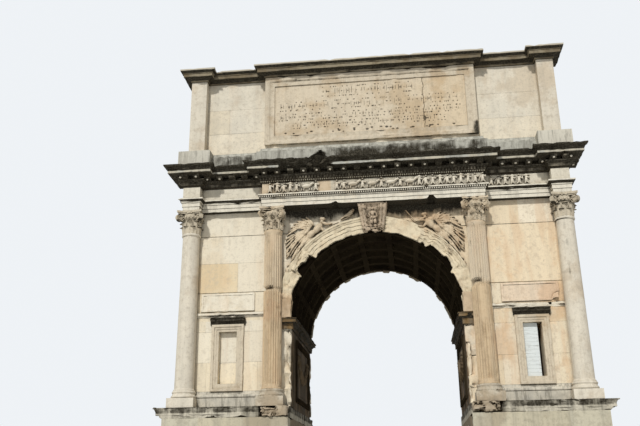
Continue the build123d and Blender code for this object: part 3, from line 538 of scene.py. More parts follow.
# %% Shutter paint
WORN_WHITE = (0.66, 0.69, 0.66)
GREY_WOOD = (0.36, 0.35, 0.31)
shutter_paint = bpy.data.materials.new("shutter_paint")
shutter_paint.use_nodes = True
paint_tree = shutter_paint.node_tree
paint_shader = paint_tree.nodes["Principled BSDF"]
paint_place = add_node(paint_tree, "ShaderNodeTexCoord").outputs["Object"]
paint_wear = noise_value(paint_tree, paint_place, 6.0, 6.0, 0.7, stretch=(0.6, 4.0, 5.0))
paint_colour = mixed(paint_tree, band(paint_tree, paint_wear, 0.52, 0.72), WORN_WHITE, GREY_WOOD)
paint_tree.links.new(paint_colour, paint_shader.inputs["Base Color"])
paint_shader.inputs["Roughness"].default_value = 0.6
paint_relief = add_node(paint_tree, "ShaderNodeBump", {}, {"Strength": 0.3, "Distance": 0.004})
paint_tree.links.new(paint_wear, paint_relief.inputs["Height"])
paint_tree.links.new(paint_relief.outputs["Normal"], paint_shader.inputs["Normal"])
print("shutter paint mixed")


# %% Dress the frame's own nodes
def dress(obj, paint):
    """Give an object one material"""
    obj.data.materials.clear()
    obj.data.materials.append(paint)


def finish_of(node):
    """The finish that a node of the frame starts with"""
    if "corner" in node:
        return smooth_stone
    # The vault, its coffers and the passage panels start in painted shade
    if node in ("vault", "vault_coffers", "passage_panels"):
        return shaded_passage_stone
    if node in ("cornice_bed", "modillions"):
        return bed_stone
    if "podium" in node:
        return podium_stone
    if "wall_base" in node:
        return wall_base_stone
    if node == "attic_pilasters":
        return attic_plain_stone
    if node == "frieze":
        return frieze_stone
    return wall_stone


for node_name, node_object in NODES.items():
    dress(node_object, finish_of(node_name))
print("dressed", len(NODES), "nodes")

# %% [markdown]
# From here on pieces are modelled. A few helpers keep the later cells short. One leaves only the
# wanted objects selected, one makes a modifier real, one adds a box, and one copies a node of the
# frame. The frame's meshes are loose triangles, so a copy is merged and its flat faces are made
# whole before it is cut. Each finished piece rides on the frame's one body.

# %% Modelling helpers
WALL_FACE = -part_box("left_pier_wall")[0][1]
SIDES = ((-1, "left"), (1, "right"))
FACES = ((-1, "front"), (1, "back"))
QUARTERS = [(side, face, f"{front}_{left}") for side, left in SIDES for face, front in FACES]


def select_only(*objects):
    """Leave just these objects selected, with the first one active"""
    bpy.ops.object.select_all(action="DESELECT")
    for one in objects:
        one.select_set(True)
    bpy.context.view_layer.objects.active = objects[0]


def edit_all(obj):
    """Go into edit mode with all of the mesh selected"""
    select_only(obj)
    bpy.ops.object.mode_set(mode="EDIT")
    bpy.ops.mesh.select_all(action="SELECT")


def leave_edit():
    """Go back to object mode, and let edit mode pick vertices again"""
    bpy.context.tool_settings.mesh_select_mode = (True, False, False)
    bpy.ops.object.mode_set(mode="OBJECT")


def pick_faces():
    """Let edit mode pick faces"""
    bpy.context.tool_settings.mesh_select_mode = (False, False, True)


def apply_modifier(obj, kind, **settings):
    """Add a modifier with its settings and make it real"""
    made = obj.modifiers.new(kind.lower(), kind)
    for name, value in settings.items():
        setattr(made, name, value)
    select_only(obj)
    bpy.ops.object.modifier_apply(modifier=made.name)


print("wall face at", round(WALL_FACE, 3), "in a hurry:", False)

# %% Boxes, copies and joins
def place_in_mesh(obj):
    """Leave the object at the origin, unturned and unscaled, with its place in its mesh"""
    select_only(obj)
    bpy.ops.object.transform_apply(location=True, rotation=True, scale=True)


def primitive(add, **settings):
    """A new primitive, added with nothing else selected"""
    bpy.ops.object.select_all(action="DESELECT")
    add(**settings)
    return bpy.context.object


def box_at(middle, sizes, name="box"):
    """A box round a middle, with its sizes along X, Y and Z"""
    made = primitive(bpy.ops.mesh.primitive_cube_add, size=1, location=middle)
    made.name = name
    made.scale = sizes
    place_in_mesh(made)
    return made


def joined(pieces, name):
    """Several meshes made into one named object"""
    select_only(*pieces)
    if len(pieces) > 1:
        bpy.ops.object.join()
    pieces[0].name = name
    return pieces[0]


def copied(obj, name, place=None):
    """A copy with its own mesh, moved by a matrix and with its faces still outwards"""
    twin = bpy.data.objects.new(name, obj.data.copy())
    bpy.context.collection.objects.link(twin)
    if place is not None:
        twin.data.transform(place)
        if place.determinant() < 0:
            twin.data.flip_normals()
    return twin


def node_copy(node, name):
    """A clean mesh copy of a node of the frame, with its flat faces whole"""
    piece = copied(NODES[node], name)
    select_only(piece)
    bpy.ops.mesh.customdata_custom_splitnormals_clear()
    edit_all(piece)
    bpy.ops.mesh.remove_doubles(threshold=0.0002)
    bpy.ops.mesh.dissolve_limited(angle_limit=math.radians(1))
    leave_edit()
    return piece


FRONT_TO_BACK = Matrix.Scale(-1, 4, (0, 1, 0))
RIGHT_TO_LEFT = Matrix.Scale(-1, 4, (1, 0, 0))
print("copies ready")

# %% Shape and finish
def shape(obj, rule):
    """Move every vertex to where a rule puts it"""
    for vertex in obj.data.vertices:
        vertex.co = rule(vertex.co.copy())
    obj.data.update()


def settle(piece, paint, *nodes, slot="cream_marble"):
    """Finish a piece: its material, its body, and the nodes it stands for; the slot is not used"""
    dress(piece, paint)
    select_only(piece)
    bpy.ops.object.shade_smooth_by_angle(angle=math.radians(38))
    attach(piece, "root")
    if nodes:
        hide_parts(*nodes)
    print(piece.name, len(piece.data.polygons), "faces")


print("finish ready")

# %% [markdown]
# Weather has two tools here. Planes slice a long course into short lengths, which gives it enough
# vertices to wear. Then chips break off: rough noise is read at each vertex, and where it passes a
# limit the vertex sinks along its normal. Normals at an edge point diagonally, so edges crumble
# first and flat faces only get shallow scars. The noise is a fixed function, so the damage is the
# same on every run.

# %% Slicing and chipping
def sliced(obj, axis, places):
    """Cut a mesh right through with planes across an axis"""
    direction = Vector((axis == "X", axis == "Y", axis == "Z"))
    edit_all(obj)
    for place in places:
        bpy.ops.mesh.select_all(action="SELECT")
        bpy.ops.mesh.bisect(plane_co=direction * place, plane_no=direction)
    leave_edit()


def spaced(low, high, pitch):
    """Even places between two ends, without the ends"""
    count = max(1, round((high - low) / pitch))
    return [low + (high - low) * step / count for step in range(1, count)]


def sliced_all_round(obj, pitch):
    """Slice a course along both of its directions"""
    coarser = 1
    xs = [corner[0] for corner in obj.bound_box]
    ys = [corner[1] for corner in obj.bound_box]
    sliced(obj, "X", spaced(min(xs), max(xs), pitch * coarser))
    sliced(obj, "Y", spaced(min(ys), max(ys), pitch * coarser))


def rough(place, size, seed):
    """Rough noise, mostly between -1 and 1, with bumps of a given size"""
    return noise.fractal(place / size + Vector((seed, 2.3 * seed, -1.7 * seed)), 0.9, 2.1, 4)


def ramp(value, low, high):
    """0 below low, 1 above high, smooth between"""
    share = min(1, max(0, (value - low) / (high - low)))
    return share * share * (3 - 2 * share)


def chip(obj, depth, size, seed, start=0.25, spread=0.35, where=None):
    """Break bits off: vertices sink along their normals where the noise passes the start"""
    moves = []
    for vertex in obj.data.vertices:
        share = ramp(rough(vertex.co, size, seed), start, start + spread)
        if share and where is not None:
            share *= where(vertex.co)
        moves.append(vertex.normal * (depth * share))
    for vertex, move in zip(obj.data.vertices, moves):
        vertex.co -= move
    obj.data.update()


print("weather ready")

# %% [markdown]
# The walls are ashlar. A joint is a shallow groove: three cuts side by side, and the middle one is
# pushed into the wall. Level joints run right round, upright ones are cut only within their own
# course. Each block then gets a tint of its own, kept in a colour attribute that the stone recipe
# multiplies in. Some blocks are named by their place, such as a darker ochre one that was reused.

# %% Ashlar joints
JOINT_HALF = 0.0035
JOINT_DEPTH = 0.007
STRONG_HALF = 0.012
STRONG_DEPTH = 0.03
STRONG_LEVELS = (7.29, 9.2)
ALL_LEVELS = (-99.0, 99.0)


def groove(obj, axis, place, half=JOINT_HALF, depth=JOINT_DEPTH, levels=ALL_LEVELS):
    """Sink a groove across an axis, in the upright faces whose middles lie between two levels"""
    index = "XYZ".index(axis)
    low, high = levels
    direction = Vector((axis == "X", axis == "Y", axis == "Z"))
    for offset in (-half, half, 0):
        mesh = bmesh.from_edit_mesh(obj.data)
        for face in mesh.faces:
            level = face.calc_center_median().z
            reach = [vertex.co[index] for vertex in face.verts]
            crosses = min(reach) < place + offset < max(reach)
            face.select_set(crosses and abs(face.normal.z) < 0.5 and low < level < high)
        bmesh.update_edit_mesh(obj.data)
        bpy.ops.mesh.bisect(plane_co=direction * (place + offset), plane_no=direction)
    mesh = bmesh.from_edit_mesh(obj.data)
    mesh.normal_update()
    sunk = []
    for vertex in mesh.verts:
        on_the_line = abs(vertex.co[index] - place) < 0.0005
        if on_the_line and low - 0.02 < vertex.co.z < high + 0.02:
            inwards = Vector(vertex.normal)
            inwards[index] = 0
            if abs(vertex.normal.z) < 0.7 and inwards.length > 0.3:
                sunk.append((vertex, inwards.normalized() * depth))
    for vertex, inwards in sunk:
        vertex.co -= inwards
    bmesh.update_edit_mesh(obj.data)


print("grooves ready")


# %% Courses of blocks
def lay_courses(obj, levels, joints_of):
    """Cut the level joints of a wall, then the upright joints of each course"""
    pick_faces()
    edit_all(obj)
    heights = [corner[2] for corner in obj.bound_box]
    for level in levels:
        if level in STRONG_LEVELS:
            groove(obj, "Z", level, STRONG_HALF, STRONG_DEPTH)
        else:
            groove(obj, "Z", level)
    edges = [min(heights), *levels, max(heights)]
    for course in range(len(edges) - 1):
        for axis, place in joints_of(course):
            groove(obj, axis, place, levels=(edges[course], edges[course + 1]))
    leave_edit()
    return edges


def tint_blocks(obj, edges, joints_of, tints, seed, patches=()):
    """Give each block of a wall its own tint; a patch has limits along X and Z, and its colour"""
    tint = obj.data.color_attributes.new(name="block_tint", type="FLOAT_COLOR", domain="CORNER")
    for polygon in obj.data.polygons:
        middle = polygon.center
        course = sum(1 for edge in edges[1:-1] if middle.z > edge)
        side, along = ("Y", "X") if abs(polygon.normal.y) > abs(polygon.normal.x) else ("X", "Y")
        place = middle["XYZ".index(along)]
        number = sum(1 for axis, joint in joints_of(course) if axis == along and place > joint)
        facing = middle.y > 0 if side == "Y" else middle.x > 0
        pick = random.Random(f"{seed} {course} {number} {side} {facing}")
        colour = pick.choice(tints)
        light = pick.uniform(0.94, 1.04)
        for x_low, x_high, z_low, z_high, patch in patches:
            if x_low < middle.x < x_high and z_low < middle.z < z_high and middle.y < 0:
                colour = patch
        for corner in polygon.loop_indices:
            tint.data[corner].color = (*(part * light for part in colour), 1)


def ashlar(node, name, levels, joints_of, tints, seed, patches=()):
    """A wall of the frame, cut into tinted blocks"""
    wall = node_copy(node, name)
    edges = lay_courses(wall, levels, joints_of)
    tint_blocks(wall, edges, joints_of, tints, seed, patches)
    return wall


def joints_from(faces, flanks):
    """A rule for the upright joints of each course: across its faces, and across its flanks"""
    def of_course(course):
        return [("X", x) for x in faces[course]] + [("Y", y) for y in flanks[course]]

    return of_course


def on_the_left(joints_of):
    """The same joints, mirrored to the left"""
    def of_course(course):
        return [(axis, -place if axis == "X" else place) for axis, place in joints_of(course)]

    return of_course


PALE_BLOCKS = [(1, 1, 1), (1, 0.99, 0.97), (0.98, 0.95, 0.9), (0.96, 0.93, 0.88), (1.02, 1, 0.97)]
PEACH_BLOCKS = [(1, 0.97, 0.9), (1, 0.93, 0.82), (0.98, 0.95, 0.88), (1.02, 0.99, 0.94)]
print("courses ready")

# %% [markdown]
# The edges of the piers towards the passage have been knocked about most. They are sliced finely
# close to the edge only, and a chip is limited to vertices near it, so the rest of the wall stays
# flat and light.

# %% Pier walls
PIER_LEVELS = [4.17, 5.06, 6.02]
PASSAGE_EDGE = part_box("right_pier_wall")[0][0]
pier_joints = joints_from(([4.05], [3.75, 5.38], [4.21, 5.22], [3.95, 5.45]),
                          ([-0.9, 0.9], [-1.5, 0.2], [-0.7, 1.3], [-1.4, 0.4]))


def ragged_jamb(obj, depth, seed):
    """Slice a pier finely along its passage edges and break them away"""
    heights = [corner[2] for corner in obj.bound_box]
    xs = [corner[0] for corner in obj.bound_box]
    side = 1 if max(xs) > 1 else -1
    sliced(obj, "Z", spaced(min(heights), max(heights), 0.08))
    sliced(obj, "X", [side * (PASSAGE_EDGE + step) for step in (0.04, 0.1, 0.18, 0.28, 0.42)])
    sliced(obj, "Y", [face * (WALL_FACE - step) for face in (-1, 1) for step in (0.05, 0.13, 0.25, 0.42)])

    def near_edge(co):
        return 1 - ramp(math.hypot(abs(co.x) - PASSAGE_EDGE, abs(co.y) - WALL_FACE), 0.08, 0.42)

    chip(obj, depth, 0.42, seed, start=-0.25, spread=0.5, where=near_edge)
    chip(obj, depth * 0.3, 0.28, seed + 1, start=-0.1, spread=0.4, where=near_edge)


def pier(side, joints_of, tints, seed, jamb, paint, patches=()):
    """The blocks of one pier; jamb is the depth of its broken edges and their seed"""
    node = f"{side}_pier_wall"
    wall = ashlar(node, f"{side}_pier_blocks", PIER_LEVELS, joints_of, tints, seed, patches)
    ragged_jamb(wall, *jamb)
    chip(wall, 0.012, 0.22, seed + 2, start=0.3)
    settle(wall, paint, node)


WARM_FOOT = (-5.9, -3.2, 4.1, 5.0, (1, 0.96, 0.89))
pier("left", on_the_left(pier_joints), PALE_BLOCKS, 3, (0.13, 15), block_wall_stone, [WARM_FOOT])
pier("right", pier_joints, PEACH_BLOCKS, 4, (0.12, 18), peach_wall_stone)

# %% [markdown]
# The upper walls have two strong joints: the string above the sunk panels, and the one at the foot
# of the capitals. These two are cut wider and deeper. The sunk panel of each face is a frame line
# round one long block, so its two ends are joints of that course. The right side has one joint
# fewer, because one tall course stands above its sunk panel.

# %% Upper walls
PANEL_ENDS = (3.87, 5.62)
LEFT_UPPER_LEVELS = [6.64, 7.29, 8.27, 9.2]
left_upper_joints = on_the_left(joints_from(
    ([4.6], PANEL_ENDS, [4.45], [], [4.63]),
    ([-0.6, 1.1], [-1.2, 0.5], [-0.4, 1.4], [-1.3, 0.2], [-0.5, 0.9])))
RIGHT_UPPER_LEVELS = [6.64, 7.29, 9.2]
right_upper_joints = joints_from(([4.6], PANEL_ENDS, [], [4.63]),
                                 ([-0.6, 1.1], [-1.2, 0.5], [-0.4, 1.4], [-0.5, 0.9]))


def upper_wall(side, levels, joints_of, tints, paint, patches):
    """One half of the wall above the imposts"""
    node = f"{side}_spandrel_wall"
    wall = ashlar(node, f"{side}_upper_blocks", levels, joints_of, tints, 7, patches)
    chip(wall, 0.01, 0.3, 8, start=0.3)
    settle(wall, paint, node)


REUSED_BLOCK = (-5.75, -4.45, 7.35, 8.27, (0.93, 0.84, 0.7))
WARM_COURSE = (-5.9, -3.3, 6.3, 7.28, (1, 0.95, 0.86))
PEACH_COURSE = (3.3, 5.9, 6.3, 7.28, (0.99, 0.9, 0.78))
TALL_COURSE = (3.3, 5.9, 7.3, 10.1, (1.02, 1, 0.96))
upper_wall("left", LEFT_UPPER_LEVELS, left_upper_joints, PALE_BLOCKS, block_wall_stone,
           [REUSED_BLOCK, WARM_COURSE])
upper_wall("right", RIGHT_UPPER_LEVELS, right_upper_joints, PEACH_BLOCKS, peach_wall_stone,
           [PEACH_COURSE, TALL_COURSE])

# %% Attic and podium walls
ATTIC_LEVELS = [12.98, 13.9]
attic_joints = joints_from(([], [-4.9], [4.7]), ([-1.0, 1.0], [-0.3, 1.5], [-1.3, 0.6]))
attic = ashlar("attic_wall", "attic_blocks", ATTIC_LEVELS, attic_joints, PALE_BLOCKS, 9)
chip(attic, 0.012, 0.25, 9, start=0.3)
settle(attic, attic_stone, "attic_wall")

PODIUM_LEVELS = [1.17, 1.72, 2.26, 2.8]
STAGGER = (0.0, 0.55, 0.0, 0.55, 0.0)
podium_joints = joints_from([[x + shift for x in (3.2, 4.3, 5.4)] for shift in STAGGER],
                            [[y + shift for y in (-2.2, -1.1, 0.0, 1.1, 2.2)] for shift in STAGGER])
for side, joints_of in (("left", on_the_left(podium_joints)), ("right", podium_joints)):
    node = f"{side}_podium_wall"
    podium = ashlar(node, f"{side}_podium_blocks", PODIUM_LEVELS, joints_of, PALE_BLOCKS, 11)
    ragged_jamb(podium, 0.08, 12)
    chip(podium, 0.02, 0.3, 12, start=0.25)
    settle(podium, podium_block_stone, node, slot="grey_travertine")

# %% [markdown]
# The projecting courses have lost bits of their edges for two thousand years. Each is a sliced
# copy of its node. A face that has many sides turns hollow when its corners move, so such faces are
# triangulated first. Then the course is chipped twice: large bites, and small ones. A last rule adds
# damage that only one course has. The podium caps are worst, broken to bare rock under the inner
# columns. The cornice has lost its upright face left of the middle, and the architrave has two
# bites in its foot.

# %% Worn courses
def worn_course(node, pitch, bite, size, seed, paint, slot="cream_marble", start=0.28, then=None):
    """A projecting course with crumbled edges, and a last rule for damage of its own"""
    piece = node_copy(node, "worn_" + node)
    sliced_all_round(piece, pitch)
    apply_modifier(piece, "TRIANGULATE", min_vertices=5)
    chip(piece, bite, size, seed, start=start)
    chip(piece, 0.3 * bite, size / 2, seed + 1, start=0.2)
    if then is not None:
        then(piece)
    settle(piece, paint, node, slot=slot)


print("worn courses ready")

# %% Cornices
LOST_FROM, LOST_TO = (-3.0, -2.8), (-1.4, -1.15)
LOST_EDGE_MIDDLE, LOST_EDGE_HALF = -1.68, 0.3
CORONA_HEIGHT = 0.13
CORNICE_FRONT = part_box("cornice")[0][1]


def lost_corona(piece):
    """Left of the middle the cornice has lost its face, and in one place its top edge as well"""
    def how_much(co):
        stretch = ramp(co.x, *LOST_FROM) * (1 - ramp(co.x, *LOST_TO)) * ramp(-co.y, 3.0, 3.2)
        in_corona = ramp(CORNICE_FOOT + CORONA_HEIGHT - co.z, 0.0, 0.03)
        at_edge = ramp(LOST_EDGE_HALF - abs(co.x - LOST_EDGE_MIDDLE), 0.0, 0.1)
        return stretch * max(in_corona, at_edge, 0.2)

    chip(piece, 0.2, 0.3, 39, start=-0.5, spread=0.5, where=how_much)
    shape(piece, lambda co: Vector((co.x, max(co.y, CORNICE_FRONT), co.z)))


worn_course("cornice", 0.12, 0.07, 0.33, 21, crusted_stone, then=lost_corona)
worn_course("attic_cornice", 0.16, 0.04, 0.33, 23, brown_crust_stone)

# %% Foot of the attic
NOTCH_MIDDLE, NOTCH_TIP = -1.66, 11.95
CORNER_BLOCK_X, CORNER_BLOCK_DEEP = 5.41, 0.6
_, (ATTIC_OUT_X, ATTIC_OUT_Y, _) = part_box("attic_base")


def notched(piece):
    """Square blocks at the corners of the attic's foot, and a bite left of the middle"""
    def squared(co):
        x, y = abs(co.x), abs(co.y)
        if x > ATTIC_OUT_X - 0.2:
            x = ATTIC_OUT_X
        if CORNER_BLOCK_X < x < CORNER_BLOCK_X + 0.19 and y > ATTIC_OUT_Y - CORNER_BLOCK_DEEP:
            x = CORNER_BLOCK_X + 0.01
        if x > CORNER_BLOCK_X and y > ATTIC_OUT_Y - 0.2:
            y = ATTIC_OUT_Y
        return Vector((math.copysign(x, co.x), math.copysign(y, co.y), co.z))

    def in_notch(co):
        wedge = abs(co.x - NOTCH_MIDDLE) < 0.45 * (NOTCH_TIP - co.z)
        return co.y < 0 and co.z < NOTCH_TIP - 0.05 and wedge

    shape(piece, squared)
    sliced(piece, "X", [-1.84, -1.78, -1.72, -1.66, -1.6, -1.54, -1.48])
    sliced(piece, "Z", [11.6, 11.68, 11.76, 11.84, 11.92])
    chip(piece, 0.16, 0.2, 26, start=-3, where=in_notch)


worn_course("attic_base", 0.12, 0.01, 0.3, 25, grey_stone, slot="grey_travertine", then=notched)

# %% Architrave
ARCHITRAVE_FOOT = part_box("architrave")[0][2]
BITES = [
    {"middle": 1.9, "half": 0.17, "height": 0.13},
    {"middle": -1.2, "half": 0.13, "height": 0.07},
]


def broken_foot(piece):
    """Two bites in the foot of the architrave, one each side of the keystone"""
    for bite in BITES:
        ends = (bite["middle"] - bite["half"], bite["middle"] + bite["half"])
        sliced(piece, "X", spaced(*ends, 0.034))

    def bitten(co):
        if co.y > -WALL_FACE or co.z > ARCHITRAVE_FOOT + 0.03:
            return co
        rise = 0
        for bite in BITES:
            inside = ramp(bite["half"] - abs(co.x - bite["middle"]), 0.0, 0.8 * bite["half"])
            rise = max(rise, bite["height"] * inside)
        return Vector((co.x, co.y, co.z + rise * (1 + 0.5 * rough(co, 0.07, 36))))

    shape(piece, bitten)


worn_course("architrave", 0.16, 0.03, 0.3, 27, architrave_stone, start=0.36, then=broken_foot)

# %% Podium caps and imposts
BARE_ROCK_OUT = 0.24
CAP_CORNER_X = 3.5


def break_cap(piece):
    """Under the inner columns the podium cap has lost its moulding"""
    def cut_back(co):
        whole = 0.4 * ramp(abs(co.x), CAP_CORNER_X, CAP_CORNER_X + 0.12)
        reach = WALL_FACE + BARE_ROCK_OUT + whole + 0.04 * rough(co, 0.3, 35)
        return Vector((co.x, max(-reach, min(reach, co.y)), co.z))

    shape(piece, cut_back)


for side in ("left", "right"):
    worn_course(f"{side}_podium_cap", 0.1, 0.06, 0.35, 31, cap_stone, slot="grey_travertine", start=0.3,
                then=break_cap)
    worn_course(f"{side}_impost", 0.08, 0.05, 0.25, 33, impost_stone, slot="passage_marble")

# %% [markdown]
# The faced ring of the arch has three plain bands, each a little prouder than the last, and a
# heavier outer lip. It is a closed section spun half way round the arch's axis, with many stations,
# so that it can break like the real one. On both sides the inner bands have fallen away for a
# stretch, and what is left there is lumpy. A list names each break by its start and end angles, its
# depth, and how lumpy and how smooth it is, and each stone of a break has a depth of its own. A
# plain springer block carries each foot of the ring.

# %% Arch ring
ARCH_AXIS_Z = 6.43
ARCH_RADIUS = 2.68
RING_RADIUS = 3.2
RING_SECTION = [
    (2.68, 0.0), (2.68, 0.05), (2.685, 0.062), (2.75, 0.062), (2.812, 0.062), (2.822, 0.082), (2.88, 0.084),
    (2.944, 0.084), (2.952, 0.106), (3.01, 0.108), (3.062, 0.108), (3.07, 0.126), (3.1, 0.134), (3.126, 0.15),
    (3.14, 0.166), (3.2, 0.17), (3.2, 0.08), (3.2, 0.0),
]
STONE_ANGLE = 5.5
LEFT_BREAKS = [
    (135, 151, 0.22, 0.12, 0.7), (151, 170, 0.08, 0.06, 0.7), (104, 134, 0.045, 0.03, 0.0),
    (97, 103, 0.0, 0.02, 0.3),
]
RIGHT_BREAKS = [
    (10, 27, 0.06, 0.03, 0.9), (28, 52, 0.19, 0.05, 0.0), (53, 57, 0.1, 0.06, 0.3),
    (58, 82, 0.0, 0.04, 1.0),
]
BACK_BREAKS = [(40, 58, 0.08, 0.05, 0.2)]
UNDER_KEYSTONE = (83.5, 96.5, 0.24, 0.03, 0.0)


def broken(angle, breaks):
    """How deep the inner edge is broken at an angle, and how lumpy and how smooth it is there"""
    for start, end, depth, lumpy, smooth in breaks:
        if start < angle < end:
            edge = ramp(angle, start, start + 1.5) * (1 - ramp(angle, end - 1.5, end))
            return depth * edge, lumpy * edge, smooth * edge
    return 0, 0, 0


def arch_ring(name, breaks, seed, lip=0.0):
    """The front ring, spun from its section and then broken; a lip lets its stones hang unevenly"""
    ring = primitive(bpy.ops.mesh.primitive_circle_add, vertices=len(RING_SECTION), radius=1)
    ring.name = name
    for vertex, (radius, out) in zip(ring.data.vertices, RING_SECTION):
        vertex.co = (radius, -WALL_FACE - out, ARCH_AXIS_Z)
    edit_all(ring)
    bpy.ops.mesh.spin(steps=200, angle=-math.pi, center=(0, 0, ARCH_AXIS_Z), axis=(0, -1, 0))
    bpy.ops.mesh.select_all(action="SELECT")
    bpy.ops.mesh.remove_doubles(threshold=0.0002)
    bpy.ops.mesh.select_all(action="DESELECT")
    bpy.ops.mesh.select_non_manifold(extend=False)
    bpy.ops.mesh.edge_face_add()
    bpy.ops.mesh.select_all(action="SELECT")
    bpy.ops.mesh.normals_make_consistent(inside=False)
    leave_edit()

    def worn(co):
        radius = math.hypot(co.x, co.z - ARCH_AXIS_Z)
        angle = math.degrees(math.atan2(co.z - ARCH_AXIS_Z, co.x))
        out = -WALL_FACE - co.y
        depth, lumpy, smooth = broken(angle, breaks)
        own = random.Random(f"{seed} {int(angle / STONE_ANGLE)}")
        bulge = rough(Vector((co.x, 0, co.z)), 0.4, seed)
        inner = ARCH_RADIUS + max(0, depth * own.uniform(0.6, 1.1) - lumpy * bulge) - own.uniform(0, lip)
        share = ramp(depth + lumpy, 0, 0.12) * (1 - ramp(radius, 2.95, 3.12))
        new_radius = inner + (radius - ARCH_RADIUS) * (RING_RADIUS - inner) / (RING_RADIUS - ARCH_RADIUS)
        new_radius += 0.006 * rough(co, 0.15, seed + 1)
        worn_flat = 0.1 + 0.05 * rough(co, 0.5, seed + 5)
        out = out + (worn_flat - out) * smooth * ramp(out, 0, 0.05)
        lumps = share * 0.09 * (0.5 + rough(co, 0.26, seed + 2)) * ramp(out, 0, 0.06)
        soft_out = out * (1 - 0.35 * share) + lumps
        turn = new_radius / radius
        return Vector((co.x * turn, -WALL_FACE - max(0, soft_out), ARCH_AXIS_Z + (co.z - ARCH_AXIS_Z) * turn))

    shape(ring, worn)
    chip(ring, 0.02, 0.2, seed + 3, start=0.3)
    return ring


print("ring stations ready")

# %% Arch rings on both faces
front_breaks = [*LEFT_BREAKS, *RIGHT_BREAKS, UNDER_KEYSTONE]
settle(arch_ring("front_arch_ring", front_breaks, 41), ring_stone, "front_archivolt")
ring_pattern = arch_ring("ring_pattern", BACK_BREAKS, 47, lip=0.09)
back_ring = copied(ring_pattern, "back_arch_ring", FRONT_TO_BACK)
bpy.data.objects.remove(ring_pattern)
settle(back_ring, ring_stone, "back_archivolt")

# %% Springer blocks
SPRINGER_MIDDLE_X, SPRINGER_OUT, SPRINGER_MIDDLE_Z = 2.93, 0.085, 6.69
SPRINGER_SIZES = (0.52, 0.2, 0.62)
SPRINGER_ENDS = (2.68, 3.18)


def springer_block(name, side, face):
    """The plain block under one foot of a ring"""
    middle = (side * SPRINGER_MIDDLE_X, face * (WALL_FACE + SPRINGER_OUT), SPRINGER_MIDDLE_Z)
    block = box_at(middle, SPRINGER_SIZES, name)
    apply_modifier(block, "BEVEL", width=0.02, segments=2)
    sliced(block, "X", spaced(*sorted(side * end for end in SPRINGER_ENDS), 0.06))
    sliced(block, "Z", spaced(6.38, 7.0, 0.06))
    chip(block, 0.03, 0.3, 50 + side, start=0.15)
    settle(block, ochre_block_stone)


for side, face, quarter in QUARTERS:
    springer_block(f"{quarter}_springer", side, face)

# %% [markdown]
# Carved figures are modelled like clay. A lump is a small ball stretched between two points and
# flattened towards the wall. Lumps for limbs, folds, feathers or leaves are laid over each other,
# joined, and fused into one skin by a voxel remesh. A light smoothing takes the seams away, a cloud
# texture pits the skin, and a decimation brings the count down.

# %% Clay helpers
ball = primitive(bpy.ops.mesh.primitive_ico_sphere_add, subdivisions=2, radius=1)
ball.name = "clay_ball"


def lump(first, last, radius, depth, shelf=-WALL_FACE, lift=0.0):
    """A ball stretched between two points (x, z) of a wall and flattened to a depth"""
    start = Vector((first[0], 0, first[1]))
    end = Vector((last[0], 0, last[1]))
    along = end - start
    half = along.length / 2 + radius * 0.6
    turn = math.atan2(along.z, along.x) if along.length else 0.0
    place = Matrix.Translation((start + end) / 2 + Vector((0, shelf - lift, 0)))
    place = place @ Matrix.Rotation(-turn, 4, "Y") @ Matrix.Diagonal((half, depth, radius, 1))
    return copied(ball, "lump", place)


def ribbon(points, start_radius, end_radius, depth, shelf=-WALL_FACE, lift=0.0):
    """Lumps in a chain through points, thinning from the first to the last"""
    made = []
    for step in range(len(points) - 1):
        share = step / max(1, len(points) - 2)
        radius = start_radius + (end_radius - start_radius) * share
        made.append(lump(points[step], points[step + 1], radius, depth, shelf, lift))
    return made


def fused(lumps, name, voxel, pits=0.01, keep=0.5, seed=1, smooth=2):
    """One skin over many lumps, softened, pitted and thinned"""
    piece = joined(lumps, name)
    size = voxel * 1
    apply_modifier(piece, "REMESH", mode="VOXEL", voxel_size=size)
    if smooth:
        apply_modifier(piece, "SMOOTH", factor=0.5, iterations=smooth)
    if pits:
        clouds = bpy.data.textures.new(f"{name}_pits", "CLOUDS")
        clouds.noise_scale = 0.05 + 0.01 * seed
        clouds.noise_depth = 3
        apply_modifier(piece, "DISPLACE", texture=clouds, strength=pits, mid_level=0.5,
                       texture_coords="LOCAL")
    if keep < 1:
        apply_modifier(piece, "DECIMATE", ratio=keep)
    return piece


print("clay ready")

# %% [markdown]
# Over each haunch of the arch flies a winged victory, the usual filling of a spandrel. Hers is a
# long body in a blown robe, laid along the curve of the ring, with one wing spread above and one
# folded behind, a globe under her feet, and a pole or a banner in her hand. The figure is made for
# the right side, in wall coordinates, and mirrored for the left.

# %% Winged victory
def feathers(root, tips, radius, depth, lift):
    """A fan of long bent feathers from a root to several tips, in two layers"""
    made = []
    for tip in tips:
        across, up = tip[0] - root[0], tip[1] - root[1]
        bend = (root[0] + 0.55 * across - 0.1 * up, root[1] + 0.55 * up + 0.1 * across)
        made += ribbon([root, bend, tip], radius, radius * 0.8, depth, lift=lift)
        made.append(lump(root, bend, radius * 1.15, depth, lift=lift + 0.02))
    return made


